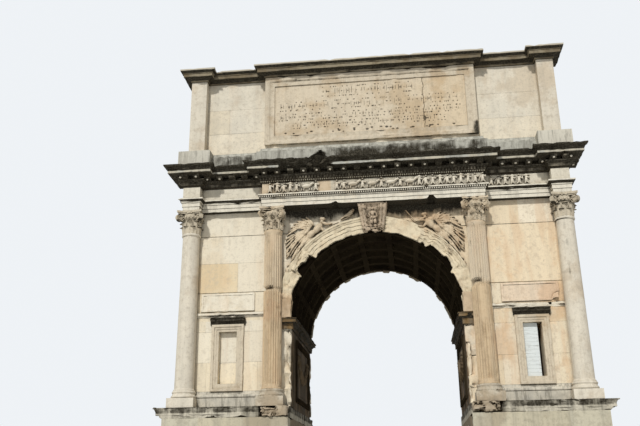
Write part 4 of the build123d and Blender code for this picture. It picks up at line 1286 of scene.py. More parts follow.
def victory(name, holds_banner, seed):
    """A winged figure in low relief over the right haunch"""
    parts = []
    high_tips = [(2.2, 9.72), (2.36, 9.68), (2.5, 9.6), (2.62, 9.5), (2.72, 9.38), (2.8, 9.25), (2.85, 9.12)]
    low_tips = [(2.88, 8.98), (2.9, 8.84), (2.88, 8.7), (2.84, 8.56), (2.76, 8.46)]
    parts += feathers((1.95, 9.42), high_tips, 0.042, 0.04, 0.02)
    parts += feathers((2.1, 9.22), low_tips, 0.042, 0.045, 0.03)
    for step in range(6):
        share = step / 5
        root, tip = (1.98 + 0.1 * share, 9.44 - 0.2 * share), (2.22 + 0.22 * share, 9.6 - 0.48 * share)
        parts.append(lump(root, tip, 0.034, 0.05, lift=0.06))
        root, tip = (2.0 + 0.1 * share, 9.38 - 0.16 * share), (2.12 + 0.16 * share, 9.48 - 0.4 * share)
        parts.append(lump(root, tip, 0.03, 0.05, lift=0.09))
    parts += [
        lump((1.72, 9.42), (1.92, 9.18), 0.13, 0.12, lift=0.03),
        lump((1.95, 9.2), (2.12, 9.02), 0.13, 0.12, lift=0.03),
        lump((1.7, 9.5), (1.66, 9.56), 0.055, 0.07, lift=0.05),
        lump((1.63, 9.6), (1.635, 9.63), 0.08, 0.085, lift=0.06),
        lump((1.66, 9.66), (1.72, 9.63), 0.055, 0.07, lift=0.04),
    ]
    parts += ribbon([(1.66, 9.5), (1.48, 9.43), (1.34, 9.46)], 0.05, 0.038, 0.055, lift=0.06)
    parts += ribbon([(1.72, 9.36), (1.62, 9.2), (1.45, 9.24)], 0.05, 0.035, 0.05, lift=0.05)
    for step in range(6):
        aside = 0.045 * (step - 2.5)
        start = (2.02 + aside, 9.08 + aside)
        knee = (2.36 + 1.1 * aside, 8.76 + 1.1 * aside)
        hem = (2.62 + 1.6 * aside, 8.32 + 0.9 * aside)
        parts += ribbon([start, knee, hem], 0.045, 0.032, 0.07 + 0.02 * (step % 2), lift=0.03)
    parts += ribbon([(2.1, 8.98), (2.44, 8.62), (2.7, 8.2)], 0.07, 0.045, 0.1, lift=0.04)
    for step in range(4):
        swing = 0.07 * step
        parts += ribbon([(2.5, 8.75 + swing), (2.7 + swing / 3, 8.5 + swing), (2.86, 8.36 + swing)],
                        0.03, 0.024, 0.05, lift=0.02)
    parts.append(lump((2.72, 8.14), (2.8, 8.08), 0.045, 0.06, lift=0.05))
    parts.append(lump((2.8, 7.93), (2.81, 7.93), 0.125, 0.12, lift=0.0))
    if holds_banner:
        parts += ribbon([(1.36, 9.4), (1.1, 9.5), (0.62, 9.72)], 0.016, 0.014, 0.03, lift=0.05)
        for step in range(5):
            drop = 0.055 * step
            tail = (0.72 - drop / 2, 9.68 + drop)
            fold = [(1.06 - drop, 9.6 + 0.02 * step), (0.9 - drop, 9.7 + drop), tail]
            parts += ribbon(fold, 0.034, 0.03, 0.04 + 0.015 * (step % 2), lift=0.03)
    else:
        parts += ribbon([(1.36, 9.4), (1.2, 9.6), (1.05, 9.8)], 0.018, 0.016, 0.035, lift=0.07)
        parts += ribbon([(1.74, 9.42), (1.55, 9.4), (1.36, 9.4)], 0.018, 0.018, 0.035, lift=0.09)
    return fused(parts, name, 0.012, pits=0.014, keep=0.5, seed=seed)


# %% Four victories
from_wall, to_wall = Matrix.Translation((0, -WALL_FACE, 0)), Matrix.Translation((0, WALL_FACE, 0))
DEEPER = from_wall @ Matrix.Scale(1.45, 4, (0, 1, 0)) @ to_wall
AS_IT_IS = Matrix.Identity(4)

for face, turned in (("front", AS_IT_IS), ("back", FRONT_TO_BACK)):
    for side, mirrored, banner in (("right", AS_IT_IS, False), ("left", RIGHT_TO_LEFT, True)):
        figure = victory("clay_victory", banner, 3)
        victory_piece = copied(figure, f"{face}_{side}_victory", turned @ DEEPER @ mirrored)
        bpy.data.objects.remove(figure)
        settle(victory_piece, relief_stone)

# %% [markdown]
# The keystone is a console. A copy of its node gives the wedge and the curve. It is sliced finely
# and its face pushed back between two upright ribs on each side and into a shallow niche, where a
# small calm figure stands, in clay. The foot is broken, so the lowest part is chipped most.

# %% Keystones
KEY_FOOT_Z, KEY_TOP_Z = foot_and_top("keystones")
KEY_FOOT_HALF, KEY_TOP_HALF = 0.33, 0.48


def console(name, seed):
    """The front keystone with its ribs and its figure"""
    body = node_copy("keystones", "console_body")
    edit_all(body)
    bpy.ops.mesh.bisect(plane_co=(0, 0, 0), plane_no=(0, 1, 0), clear_outer=True, use_fill=True)
    leave_edit()
    sliced(body, "X", spaced(-KEY_TOP_HALF, KEY_TOP_HALF, 0.016))
    sliced(body, "Z", spaced(KEY_FOOT_Z, KEY_TOP_Z, 0.035))

    def ribbed(co):
        if co.y > -WALL_FACE - 0.12:
            return co
        height = (co.z - KEY_FOOT_Z) / (KEY_TOP_Z - KEY_FOOT_Z)
        aside = abs(co.x) / (KEY_FOOT_HALF + (KEY_TOP_HALF - KEY_FOOT_HALF) * height)
        ends = ramp(height, 0.12, 0.2) * (1 - ramp(height, 0.93, 0.96))
        rib = abs(math.sin(2 * math.pi * (aside - 0.5) / 0.5)) ** 0.5 if aside > 0.5 else 0
        niche = 1 - ramp(aside, 0.4, 0.47)
        return co + Vector((0, ends * (0.045 - 0.045 * rib) * (aside > 0.5) + 0.07 * niche * ends, 0))

    shape(body, ribbed)
    shelf = -WALL_FACE - 0.27
    head = lump((0, 9.8), (0.005, 9.83), 0.05, 0.06, shelf, 0.07)
    parts = [head, lump((0, 9.62), (0, 9.72), 0.07, 0.08, shelf, 0.05)]
    for aside in (-0.065, -0.02, 0.045, 0.085):
        fold = [(aside * 0.8, 9.6), (aside, 9.48), (aside * 1.2, 9.34)]
        parts += ribbon(fold, 0.032, 0.028, 0.07, shelf, -0.01)
    parts += ribbon([(-0.07, 9.73), (-0.12, 9.64), (-0.07, 9.57)], 0.026, 0.022, 0.045, shelf, 0.06)
    parts += ribbon([(0.07, 9.73), (0.12, 9.64), (0.13, 9.52)], 0.026, 0.022, 0.045, shelf, 0.06)
    for aside in (-0.2, -0.07, 0.07, 0.2):
        parts.append(lump((aside, 9.27), (aside * 1.05, 9.3), 0.07, 0.09, -WALL_FACE, 0.16))
    figure = fused(parts, "keystone_figure", 0.011, pits=0.012, keep=0.6, seed=seed, smooth=1)
    piece = joined([body, figure], name)
    chip(piece, 0.12, 0.3, 61, start=-0.3, spread=0.6, where=lambda co: 1 - ramp(co.z, 9.14, 9.3))
    chip(piece, 0.02, 0.1, 62, start=0.2)
    low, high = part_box("keystones")

    def kept_inside(co):
        x, z = min(max(co.x, low[0]), high[0]), min(max(co.z, low[2]), high[2])
        return Vector((x, max(co.y, low[1]), z))

    shape(piece, kept_inside)
    return piece


front_console = console("front_keystone", 4)
back_console = copied(front_console, "back_keystone", FRONT_TO_BACK)
settle(front_console, keystone_stone, "keystones")
settle(back_console, keystone_stone, "keystones")

# %% [markdown]
# Eight composite capitals crown the columns. A bell carries two rows of eight leaves; above them
# come a ring of eggs, four scrolls set on the diagonals, and a slab with hollow sides and a flower
# in the middle of each side. The four at the corners were cut anew with smooth leaves, the inner
# four have the old lobed ones. Every part is a small mesh made once: a grid curved into a leaf, a
# cylinder cut into a scroll. Copies are turned about the bell and joined.

# %% Leaves, scrolls and slab of a capital
CAPITAL_FOOT, CAPITAL_TOP = foot_and_top("corner_capitals")
BELL_RADIUS, BELL_HEIGHT = 0.27, 0.66
ABACUS_HALF = 0.41
SCROLL_SIDES, SCROLL_RADIUS, SCROLL_WIDTH = 20, 0.13, 0.13


def leaf(height, half_width, curl, lobes):
    """One leaf that stands against the bell, facing +X, and rolls over at its tip"""
    blade = primitive(bpy.ops.mesh.primitive_grid_add, x_subdivisions=10, y_subdivisions=14, size=1)

    def bent(co):
        aside, share = 2 * co.x, co.y + 0.5
        stem = min(1, share / 0.7)
        roll = max(0, (share - 0.7) / 0.3) * 2.5
        half = half_width * (1 - 0.1 * share) * math.sqrt(max(0.02, 1 - share ** 6))
        half *= 1 - 0.22 * lobes * abs(math.sin(4.5 * math.pi * share))
        out = BELL_RADIUS + 0.012 + 0.02 * stem + curl * (1 - math.cos(roll))
        out -= 0.3 * half * aside * aside * stem
        out += 0.014 * math.exp(-(aside / 0.16) ** 2) + 0.007 * lobes * math.cos(5 * math.pi * aside)
        rise = stem * height + curl * math.sin(roll)
        turn = aside * half / BELL_RADIUS
        return Vector((out * math.cos(turn), out * math.sin(turn), rise))

    shape(blade, bent)
    apply_modifier(blade, "SOLIDIFY", thickness=0.016, offset=0)
    return blade


def scroll():
    """One corner scroll on the +X side, its flat sides cut into a rim and an eye"""
    roll = primitive(bpy.ops.mesh.primitive_cylinder_add, vertices=SCROLL_SIDES, radius=SCROLL_RADIUS,
                     depth=SCROLL_WIDTH, rotation=(math.pi / 2, 0, 0))
    place_in_mesh(roll)
    edit_all(roll)
    pick_faces()
    for thickness, depth in ((0.028, -0.03), (0.022, 0.02), (0.03, -0.025)):
        mesh = bmesh.from_edit_mesh(roll.data)
        for face in mesh.faces:
            face.select_set(len(face.verts) == SCROLL_SIDES)
        bmesh.update_edit_mesh(roll.data)
        bpy.ops.mesh.inset(thickness=thickness, depth=depth, use_individual=True)
    leave_edit()
    roll.data.transform(Matrix.Translation((ABACUS_HALF * 1.13, 0, 0.525)))
    arm = box_at((0.34, 0, 0.605), (0.3, 0.11, 0.06))
    apply_modifier(arm, "BEVEL", width=0.015, segments=2)
    return joined([roll, arm], "scroll")


def abacus():
    """The top slab in two steps, its four sides drawn in towards the middle"""
    slabs = []
    for half, low, high in ((ABACUS_HALF * 0.93, 0.655, 0.7), (ABACUS_HALF, 0.695, 0.77)):
        one = box_at((0, 0, (low + high) / 2), (2 * half, 2 * half, high - low))
        sliced(one, "X", spaced(-half, half, half / 5))
        sliced(one, "Y", spaced(-half, half, half / 5))

        def drawn_in(co, half=half):
            x = co.x * (1 - 0.17 * (1 - (co.y / half) ** 2))
            y = co.y * (1 - 0.17 * (1 - (co.x / half) ** 2))
            return Vector((x, y, co.z))

        shape(one, drawn_in)
        slabs.append(one)
    return joined(slabs, "abacus")


def bell():
    """The core that the leaves stand on, with the swelling ring that carries the eggs"""
    core = primitive(bpy.ops.mesh.primitive_cylinder_add, vertices=32, radius=1, depth=BELL_HEIGHT,
                     location=(0, 0, BELL_HEIGHT / 2))
    place_in_mesh(core)
    sliced(core, "Z", spaced(0, BELL_HEIGHT, 0.03))

    def swell(co):
        radius = BELL_RADIUS + 0.07 * ramp(co.z, 0.3, 0.5) + 0.03 * math.exp(-((co.z - 0.53) / 0.04) ** 2)
        radius -= 0.02 * math.exp(-((co.z - 0.44) / 0.03) ** 2)
        return Vector((co.x * radius, co.y * radius, co.z))

    shape(core, swell)
    return core


def ball_at(place, half_sizes, turn=0.0):
    """A ball stretched along the axes, turned about Z and moved to its place"""
    where = Matrix.Rotation(turn, 4, "Z") @ Matrix.Translation(place) @ Matrix.Diagonal((*half_sizes, 1))
    return copied(ball, "egg", where)


def capital_pattern(name, lobes):
    """A whole capital at the origin"""
    parts = [bell(), abacus()]
    low_leaf = leaf(0.19, 0.1, 0.046, lobes)
    high_leaf = leaf(0.36, 0.1, 0.06, lobes)
    corner_scroll = scroll()
    for number in range(8):
        parts.append(copied(low_leaf, "leaf", Matrix.Rotation(math.pi * (number + 0.5) / 4, 4, "Z")))
        parts.append(copied(high_leaf, "leaf", Matrix.Rotation(math.pi * number / 4, 4, "Z")))
    for number in range(4):
        parts.append(copied(corner_scroll, "scroll", Matrix.Rotation(math.pi * (number + 0.5) / 2, 4, "Z")))
        side = math.pi * number / 2
        parts.append(ball_at((ABACUS_HALF * 0.84, 0, 0.71), (0.035, 0.06, 0.055), side))
        for lean in (-1, 1):
            parts.append(ball_at((ABACUS_HALF * 0.82, 0.06 * lean, 0.68), (0.03, 0.035, 0.035), side))
    for number in range(20):
        parts.append(ball_at((0.375, 0, 0.54), (0.026, 0.036, 0.042), math.pi * number / 10))
    for pattern in (low_leaf, high_leaf, corner_scroll):
        bpy.data.objects.remove(pattern)
    return joined(parts, name)


print("capital from", round(CAPITAL_FOOT, 2), "to", round(CAPITAL_TOP, 2))

# %% Eight capitals
SHAFT_REACH = 0.335


def axis_of(shaft):
    """How far a right front shaft's axis stands from the middle, along X and along Y"""
    low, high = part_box(shaft)
    return high[0] - SHAFT_REACH, -low[1] - SHAFT_REACH


CORNER_X, CORNER_Y = axis_of("front_right_corner_shaft")
INNER_X, INNER_Y = axis_of("front_right_fluted_shaft")


def capital_set(pattern, x, y, name):
    """Copies of a capital on the four like columns of the plan, joined"""
    places = [Matrix.Translation((side * x, face * y, CAPITAL_FOOT)) for face in (-1, 1) for side in (-1, 1)]
    made = joined([copied(pattern, "capital", place) for place in places], name)
    bpy.data.objects.remove(pattern)
    return made


corner_set = capital_set(capital_pattern("smooth_capital", 0.0), CORNER_X, CORNER_Y, "corner_capital_set")
inner_set = capital_set(capital_pattern("old_capital", 1.0), INNER_X, INNER_Y, "inner_capital_set")
chip(corner_set, 0.012, 0.1, 71, start=0.3)
chip(inner_set, 0.045, 0.16, 72, start=0.12)
settle(corner_set, capital_stone, "corner_capitals")
settle(inner_set, old_capital_stone, "inner_capitals", slot="ochre_marble")

# %% [markdown]
# The inner columns are half round and fluted. A ring of points is extruded upwards station by
# station, and each point is then drawn in by the hollow of its flute. Rain has rubbed the flutes
# away in places, so a slow noise fades them. The left front shaft is broken across at about half
# height, and the right front one has a smooth stone let in where its flutes were lost.

# %% Fluted shafts
SHAFT_FOOT, SHAFT_TOP = foot_and_top("front_left_fluted_shaft")
SHAFT_RADIUS, SHAFT_TOP_RADIUS = 0.305, 0.285
FLUTES = 24
POINTS_A_FLUTE = 6
FLUTE_DEPTH = 0.034


def fluted_shaft(name, x, y, seed, patch=None, crack=None):
    """A fluted, worn shaft with its foot ring and its astragal"""
    drum = primitive(bpy.ops.mesh.primitive_circle_add, vertices=FLUTES * POINTS_A_FLUTE, radius=1,
                     fill_type="NGON", location=(0, 0, SHAFT_FOOT))
    drum.name = name
    place_in_mesh(drum)
    levels = [0.02, 0.04, 0.055, 0.07, 0.1, 0.13, 0.16] + [0.25 + 0.09 * step for step in range(50)]
    levels += [4.82, 4.88, 4.91, 4.94, 4.965, 4.98, 4.995, 5.02, 5.045, SHAFT_TOP - SHAFT_FOOT]
    edit_all(drum)
    height = 0.0
    for level in levels:
        bpy.ops.mesh.extrude_region_move(TRANSFORM_OT_translate={"value": (0, 0, level - height)})
        height = level
    bpy.ops.mesh.select_all(action="SELECT")
    bpy.ops.mesh.normals_make_consistent(inside=False)
    leave_edit()

    def carved(co):
        rise = co.z - SHAFT_FOOT
        angle = math.atan2(co.y, co.x)
        phase = (angle / (2 * math.pi) * FLUTES) % 1 - 0.5
        hollow = math.sqrt(max(0, 1 - (phase / 0.42) ** 2))
        ends = ramp(rise, 0.1, 0.17) * (1 - ramp(rise, 4.88, 4.95))
        wear = ramp(rough(Vector((math.cos(angle), math.sin(angle), co.z * 0.6)), 0.9, seed), 0.2, 0.7)
        radius = SHAFT_RADIUS + (SHAFT_TOP_RADIUS - SHAFT_RADIUS) * rise / (SHAFT_TOP - SHAFT_FOOT)
        if patch and patch[0] < co.z < patch[1] and -0.3 < angle + math.pi / 2 < 1.4:
            wear, radius = 1, radius - 0.012
        radius += 0.022 * (1 - ramp(rise, 0.035, 0.06)) + 0.014 * ramp(rise, 4.96, 4.97)
        radius -= 0.012 * wear + FLUTE_DEPTH * hollow * ends * (1 - 0.85 * wear)
        if crack:
            near = 1 - ramp(abs(co.z - crack - 0.05 * math.cos(angle + 2.2)), 0.03, 0.08)
            radius -= near * (0.035 + 0.09 * ramp(math.cos(angle - 3.9), 0.2, 0.9))
        place = Vector((radius * math.cos(angle), radius * math.sin(angle), co.z))
        return place + Vector((x, y, 0))

    shape(drum, carved)
    chip(drum, 0.014, 0.3, seed, start=0.28)
    return drum


left_shaft = fluted_shaft("front_left_fluted_column", -INNER_X, -INNER_Y, 81, crack=7.27)
right_shaft = fluted_shaft("front_right_fluted_column", INNER_X, -INNER_Y, 85, patch=(6.0, 7.2), crack=7.22)
settle(left_shaft, ochre_stone, "front_left_fluted_shaft", slot="ochre_marble")
settle(right_shaft, ochre_stone, "front_right_fluted_shaft", slot="ochre_marble")
for side, side_name in SIDES:
    back_shaft = fluted_shaft(f"back_{side_name}_fluted_column", side * INNER_X, INNER_Y, 88 + side)
    settle(back_shaft, ochre_stone, f"back_{side_name}_fluted_shaft", slot="ochre_marble")

# %% [markdown]
# The bases of the old columns are worn almost shapeless. A copy of the node is remeshed in small
# voxels, which rounds its edges, and is then chipped hard. The podium caps under them look alike.

# %% Worn bases
worn_bases = node_copy("inner_column_bases", "worn_inner_bases")
apply_modifier(worn_bases, "REMESH", mode="VOXEL", voxel_size=0.014)
chip(worn_bases, 0.03, 0.35, 91, start=0.3, spread=0.5)
chip(worn_bases, 0.006, 0.1, 92, start=0.2)
apply_modifier(worn_bases, "DECIMATE", ratio=0.3)
settle(worn_bases, rock_stone, "inner_column_bases", slot="ochre_marble")

# %% Rocks left under the inner columns
ROCK_MIDDLE = (3.1, 2.86, 3.5)
ROCK_SIZES = (0.8, 0.48, 0.3)


def broken_rock(name, side, face, seed):
    """A lump of broken stone"""
    x, y, z = ROCK_MIDDLE
    rock = box_at((side * x, face * y, z), ROCK_SIZES, name)
    apply_modifier(rock, "REMESH", mode="VOXEL", voxel_size=0.035)
    apply_modifier(rock, "SMOOTH", factor=0.5, iterations=4)
    shape(rock, lambda co: co + Vector((0.03, 0.03, 0.035)) * rough(co, 0.3, seed + 5))
    chip(rock, 0.11, 0.3, seed, start=-0.1, spread=0.3)
    chip(rock, 0.03, 0.14, seed + 1, start=0.05)
    settle(rock, rock_stone, slot="grey_travertine")


for side, face, quarter in QUARTERS:
    broken_rock(f"{quarter}_rock", side, face, 93 + side + 3 * face)

# %% [markdown]
# A procession walks along the frieze: people in robes, some with trays or staves, and led oxen.
# Six small clay figures are made once and set along the wall in a seeded order. They stand about a
# third of a metre high, in strong relief, so that they read from the ground.

# %% Frieze figures
FRIEZE_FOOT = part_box("frieze")[0][2]
FRIEZE_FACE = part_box("frieze")[1][1]
RECESS_DEPTH = 0.32


def walker(name, lean, load):
    """A robed figure in clay, standing on z = 0 before the plane y = 0"""
    parts = [
        lump((-0.045 + lean, 0.02), (-0.02, 0.12), 0.022, 0.035, 0),
        lump((0.05 + lean, 0.02), (0.02, 0.12), 0.022, 0.035, 0),
        lump((0, 0.09), (0, 0.19), 0.05, 0.05, 0),
        lump((0.0, 0.19), (lean * 0.3, 0.24), 0.046, 0.05, 0),
        lump((lean * 0.4, 0.3), (lean * 0.4, 0.31), 0.027, 0.035, 0, 0.015),
    ]
    parts += ribbon([(0.03, 0.24), (0.075, 0.19), (0.09, 0.24)], 0.017, 0.014, 0.03, 0, 0.02)
    if load == "tray":
        parts.append(lump((-0.12, 0.27), (0.1, 0.28), 0.024, 0.045, 0, 0.01))
    if load == "staff":
        parts.append(lump((0.1, 0.06), (0.1, 0.33), 0.009, 0.025, 0, 0.02))
    if load == "cloak":
        parts += ribbon([(-0.04, 0.23), (-0.085, 0.15), (-0.1, 0.05)], 0.026, 0.02, 0.035, 0)
    return fused(parts, name, 0.011, pits=0.006, keep=0.45, seed=2, smooth=1)


def ox(name):
    """A led ox in clay"""
    parts = [
        lump((-0.1, 0.18), (0.1, 0.19), 0.065, 0.06, 0),
        lump((0.12, 0.21), (0.17, 0.26), 0.04, 0.045, 0, 0.01),
        lump((0.18, 0.27), (0.22, 0.24), 0.026, 0.035, 0, 0.02),
        lump((0.19, 0.3), (0.2, 0.32), 0.01, 0.02, 0, 0.02),
    ]
    for aside in (-0.13, -0.07, 0.08, 0.14):
        parts.append(lump((aside, 0.02), (aside + 0.01, 0.13), 0.019, 0.035, 0))
    return fused(parts, name, 0.011, pits=0.006, keep=0.45, seed=2, smooth=1)


cast = [
    walker("plain_walker", 0.0, ""), walker("tray_bearer", 0.015, "tray"),
    walker("staff_bearer", -0.01, "staff"), walker("cloaked_walker", 0.02, "cloak"),
    walker("leaning_walker", -0.03, ""), ox("ox"),
]


def procession(name, face):
    """A row of figures along one face: the middle, and part of the recess on the right"""
    order = random.Random(17)
    stout = Matrix.Diagonal((1.2, 2.0, 1.12, 1))
    made = []
    x = -3.42
    while x < 3.5:
        pick = order.choices(range(6), weights=(5, 4, 4, 4, 4, 2))[0]
        room = 0.37 if pick == 5 else 0.205
        if not -1.72 < x < -1.34:
            level = Matrix.Translation((x + room / 2, -FRIEZE_FACE, FRIEZE_FOOT + 0.02))
            own_size = Matrix.Scale(order.uniform(0.97, 1.06), 4)
            made.append(copied(cast[pick], "walker", level @ stout @ own_size))
        x += room + order.uniform(0.0, 0.03)
    for step in range(6):
        pick = order.randrange(5)
        level = Matrix.Translation((3.85 + 0.22 * step, -FRIEZE_FACE + RECESS_DEPTH, FRIEZE_FOOT + 0.02))
        made.append(copied(cast[pick], "walker", level @ stout))
    row = joined(made, name)
    if face > 0:
        row.data.transform(Matrix.Rotation(math.pi, 4, "Z"))
    return row


settle(procession("front_procession", -1), frieze_figure_stone)
settle(procession("back_procession", 1), frieze_figure_stone)
for figure in cast:
    bpy.data.objects.remove(figure)

# %% [markdown]
# Small repeated ornament runs along the courses: a leaf row on the architrave's hollow, a row of eggs
# and dentils in the bed, and leaf tips under the brackets. One function gives evenly spaced places
# along the middle of the front and of the back, each turned outwards. Hundreds of copies are made, so
# each bit has only a few dozen faces.

# %% Places along the entablature
MIDDLE_HALF = 3.59
HALF_TURN = Matrix.Rotation(math.pi, 4, "Z")


def run_places(out, level, pitch):
    """Places every so often along the middle of the front and the back, out from the plain face"""
    half = MIDDLE_HALF + out
    count = max(1, int(2 * half / pitch))
    places = []
    for number in range(count):
        x = -half + 2 * half * (number + 0.5) / count
        place = Matrix.Translation((x, -FRIEZE_FACE - out, level))
        places += [place, HALF_TURN @ place]
    return places


def row_of(pattern, places, name):
    """Copies of one small ornament joined to a row"""
    row = joined([copied(pattern, "bit", place) for place in places], name)
    bpy.data.objects.remove(pattern)
    return row


def bevelled_block(width, depth, height, bevel):
    """A small block at the origin with softened edges"""
    made = box_at((0, 0, 0), (width, depth, height))
    apply_modifier(made, "BEVEL", width=bevel, segments=1)
    return made


def small_egg(width, depth, height):
    """A small egg at the origin, coarse because hundreds are made"""
    made = primitive(bpy.ops.mesh.primitive_uv_sphere_add, segments=8, ring_count=5, radius=1)
    made.scale = (width, depth, height)
    place_in_mesh(made)
    return made


BED_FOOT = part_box("cornice_bed")[0][2]
dentil_places = run_places(0.09, BED_FOOT + 0.125, 0.1)
dentils = row_of(bevelled_block(0.065, 0.06, 0.095, 0.006), dentil_places, "dentils")
settle(dentils, bed_stone)
egg_places = run_places(0.062, BED_FOOT + 0.045, 0.07)
settle(row_of(small_egg(0.024, 0.028, 0.026), egg_places, "egg_row"), pale_dot_stone)
leaf_places = run_places(0.085, FRIEZE_FOOT - 0.075, 0.07)
settle(row_of(small_egg(0.025, 0.03, 0.042), leaf_places, "leaf_row"), architrave_stone)

# %% Leaf tips under the brackets
def islands(obj):
    """The boxes of the loose parts of a mesh, sorted, because a set of vertices has no order"""
    mesh = bmesh.new()
    mesh.from_mesh(obj.data)
    left = set(mesh.verts)
    boxes = []
    while left:
        group, edge = set(), {left.pop()}
        while edge:
            group |= edge
            left -= edge
            edge = {link.other_vert(vertex) for vertex in edge for link in vertex.link_edges} & left
        low = Vector([min(vertex.co[axis] for vertex in group) for axis in range(3)])
        high = Vector([max(vertex.co[axis] for vertex in group) for axis in range(3)])
        boxes.append((low, high))
    mesh.free()
    return sorted(boxes, key=lambda box: tuple(box[0]))


brackets = node_copy("modillions", "bracket_copy")
tip_places = []
for low, high in islands(brackets):
    middle = (low + high) / 2
    if high.x - low.x > high.y - low.y:
        tip = Vector((high.x - 0.05 if middle.x > 0 else low.x + 0.05, middle.y, low.z + 0.045))
    else:
        tip = Vector((middle.x, high.y - 0.05 if middle.y > 0 else low.y + 0.05, low.z + 0.045))
    tip_places.append(Matrix.Translation(tip))
bpy.data.objects.remove(brackets)
KEPT_TIPS = 0.72
keeper = random.Random(5)
tip_places = [place for place in tip_places if keeper.random() < KEPT_TIPS]
settle(row_of(small_egg(0.042, 0.044, 0.034), tip_places, "bracket_leaf_tips"), tip_stone)

# %% [markdown]
# The tablet of the attic is bare and worn. It is a fine grid laid over the wall inside the frame.
# Small marks stand in rows: upright and level strokes with dowel holes beside them, in an order that
# comes from a seed. A scatter of chips lies along the foot, and a crack runs up the right part. A
# mark also darkens its points in the tint attribute, as painted shade and grime in the sunk stone. The
# rim of the grid is extruded back to the wall and filled, so the plate is closed, and a decimation
# thins the parts that are flat.

# %% Marks on the tablet
TABLET_HALF, TABLET_LOW, TABLET_HIGH = 3.27, 12.69, 14.6
TABLET_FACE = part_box("attic_wall")[1][1] + 0.006
MARK_ROWS = [(13.04, 2.6, 0.1), (13.37, 3.05, 0.11), (13.78, 3.05, 0.15), (14.28, 1.6, 0.18)]
STROKE_HALF = 0.008
HOLE_HALF = 0.014
DEEP_MARK = 0.04
MISSING_CORNER = (1.86, 13.05, 0.05, 0.09, 0.06)


def marks():
    """Seeded marks as (x, z, half width, half height, depth): strokes, holes beside them, chips"""
    order = random.Random(23)
    made = []
    for level, reach, tall in MARK_ROWS:
        x = -reach
        while x < reach:
            long = order.uniform(0.45, 0.95) * tall
            if order.random() < 0.75:
                z, half_sizes = level + order.uniform(-0.2, 0.2) * tall, (STROKE_HALF, long)
            else:
                z, half_sizes = level + order.choice((-0.9, 0, 0.9)) * tall, (long * 0.45, STROKE_HALF)
            made.append((x, z, *half_sizes, order.uniform(0.013, 0.022)))
            for step in range(2):
                hole_x = x + order.uniform(-0.07, 0.07)
                hole_z = level + order.choice((-1, 0, 1)) * tall
                made.append((hole_x, hole_z, HOLE_HALF, HOLE_HALF, DEEP_MARK))
            x += order.uniform(0.07, 0.15)
    for step in range(26):
        size = order.uniform(0.01, 0.03)
        made.append((order.uniform(-3.1, 3.1), order.uniform(12.72, 12.84), 2 * size, size, DEEP_MARK))
    made.append(MISSING_CORNER)
    return made


print("marks:", len(marks()))

# %% Tablet
CELLS_A_METRE = 4
CRACK_X = 1.85


def depth_at(x, z, cells):
    """How deep the tablet is sunk at a place: by wear, by the marks near it and by the crack"""
    sunk = 0.005 * (0.5 + rough(Vector((x, 0, z)), 0.3, 24))
    column, row = round(x * CELLS_A_METRE), round(z * CELLS_A_METRE)
    near = [cells.get((column + right, row + up), ()) for right in (-1, 0, 1) for up in (-1, 0, 1)]
    for cell in near:
        for mark_x, mark_z, half_x, half_z, depth in cell:
            away = math.hypot((x - mark_x) / (half_x + 0.008), (z - mark_z) / (half_z + 0.008))
            sunk = max(sunk, depth * (1 - ramp(away, 0.5, 1.1)))
    crack_x = CRACK_X + 0.03 * rough(Vector((0, 0, z)), 0.3, 25)
    return max(sunk, 0.03 * (1 - ramp(abs(x - crack_x), 0.0, 0.022)))


def tablet(name):
    """The worn plate inside the front frame"""
    coarser = 1
    plate = primitive(bpy.ops.mesh.primitive_grid_add, x_subdivisions=360 // coarser,
                      y_subdivisions=105 // coarser, size=1)
    plate.name = name
    cells = {}
    for mark in marks():
        cell = (round(mark[0] * CELLS_A_METRE), round(mark[1] * CELLS_A_METRE))
        cells.setdefault(cell, []).append(mark)
    tint = plate.data.color_attributes.new(name="block_tint", type="FLOAT_COLOR", domain="POINT")
    for vertex in plate.data.vertices:
        x = vertex.co.x * 2 * TABLET_HALF
        z = TABLET_LOW + (vertex.co.y + 0.5) * (TABLET_HIGH - TABLET_LOW)
        sunk = depth_at(x, z, cells)
        # Painted shade and grime darken the sunk marks, holes and crack
        shade = 1 - 0.85 * ramp(sunk, 0.006, 0.022)
        warm = ramp(x + 0.6 * rough(Vector((x, 0, z)), 1.1, 26), 0.6, 2.6)
        tint.data[vertex.index].color = (shade, shade * (1 - 0.04 * warm), shade * (1 - 0.1 * warm), 1)
        vertex.co = Vector((x, -TABLET_FACE - 0.022 + min(0.02, sunk * 0.5), z))
    if plate.data.polygons[0].normal.y > 0:
        plate.data.flip_normals()
    edit_all(plate)
    bpy.ops.mesh.select_all(action="DESELECT")
    bpy.ops.mesh.select_non_manifold(extend=False)
    bpy.ops.mesh.extrude_edges_move(TRANSFORM_OT_translate={"value": (0, 0.02, 0)})
    bpy.ops.mesh.edge_face_add()
    bpy.ops.mesh.select_all(action="SELECT")
    bpy.ops.mesh.normals_make_consistent(inside=False)
    leave_edit()
    apply_modifier(plate, "DECIMATE", ratio=0.5)
    return plate


front_tablet = tablet("front_tablet")
back_tablet = copied(front_tablet, "back_tablet", HALF_TURN)
settle(front_tablet, tablet_stone)
settle(back_tablet, tablet_stone)

# %% [markdown]
# The open window has a shutter of level boards. The boards are made one by one, each a bevelled
# plank with a little tilt of its own, so the light breaks unevenly on them.

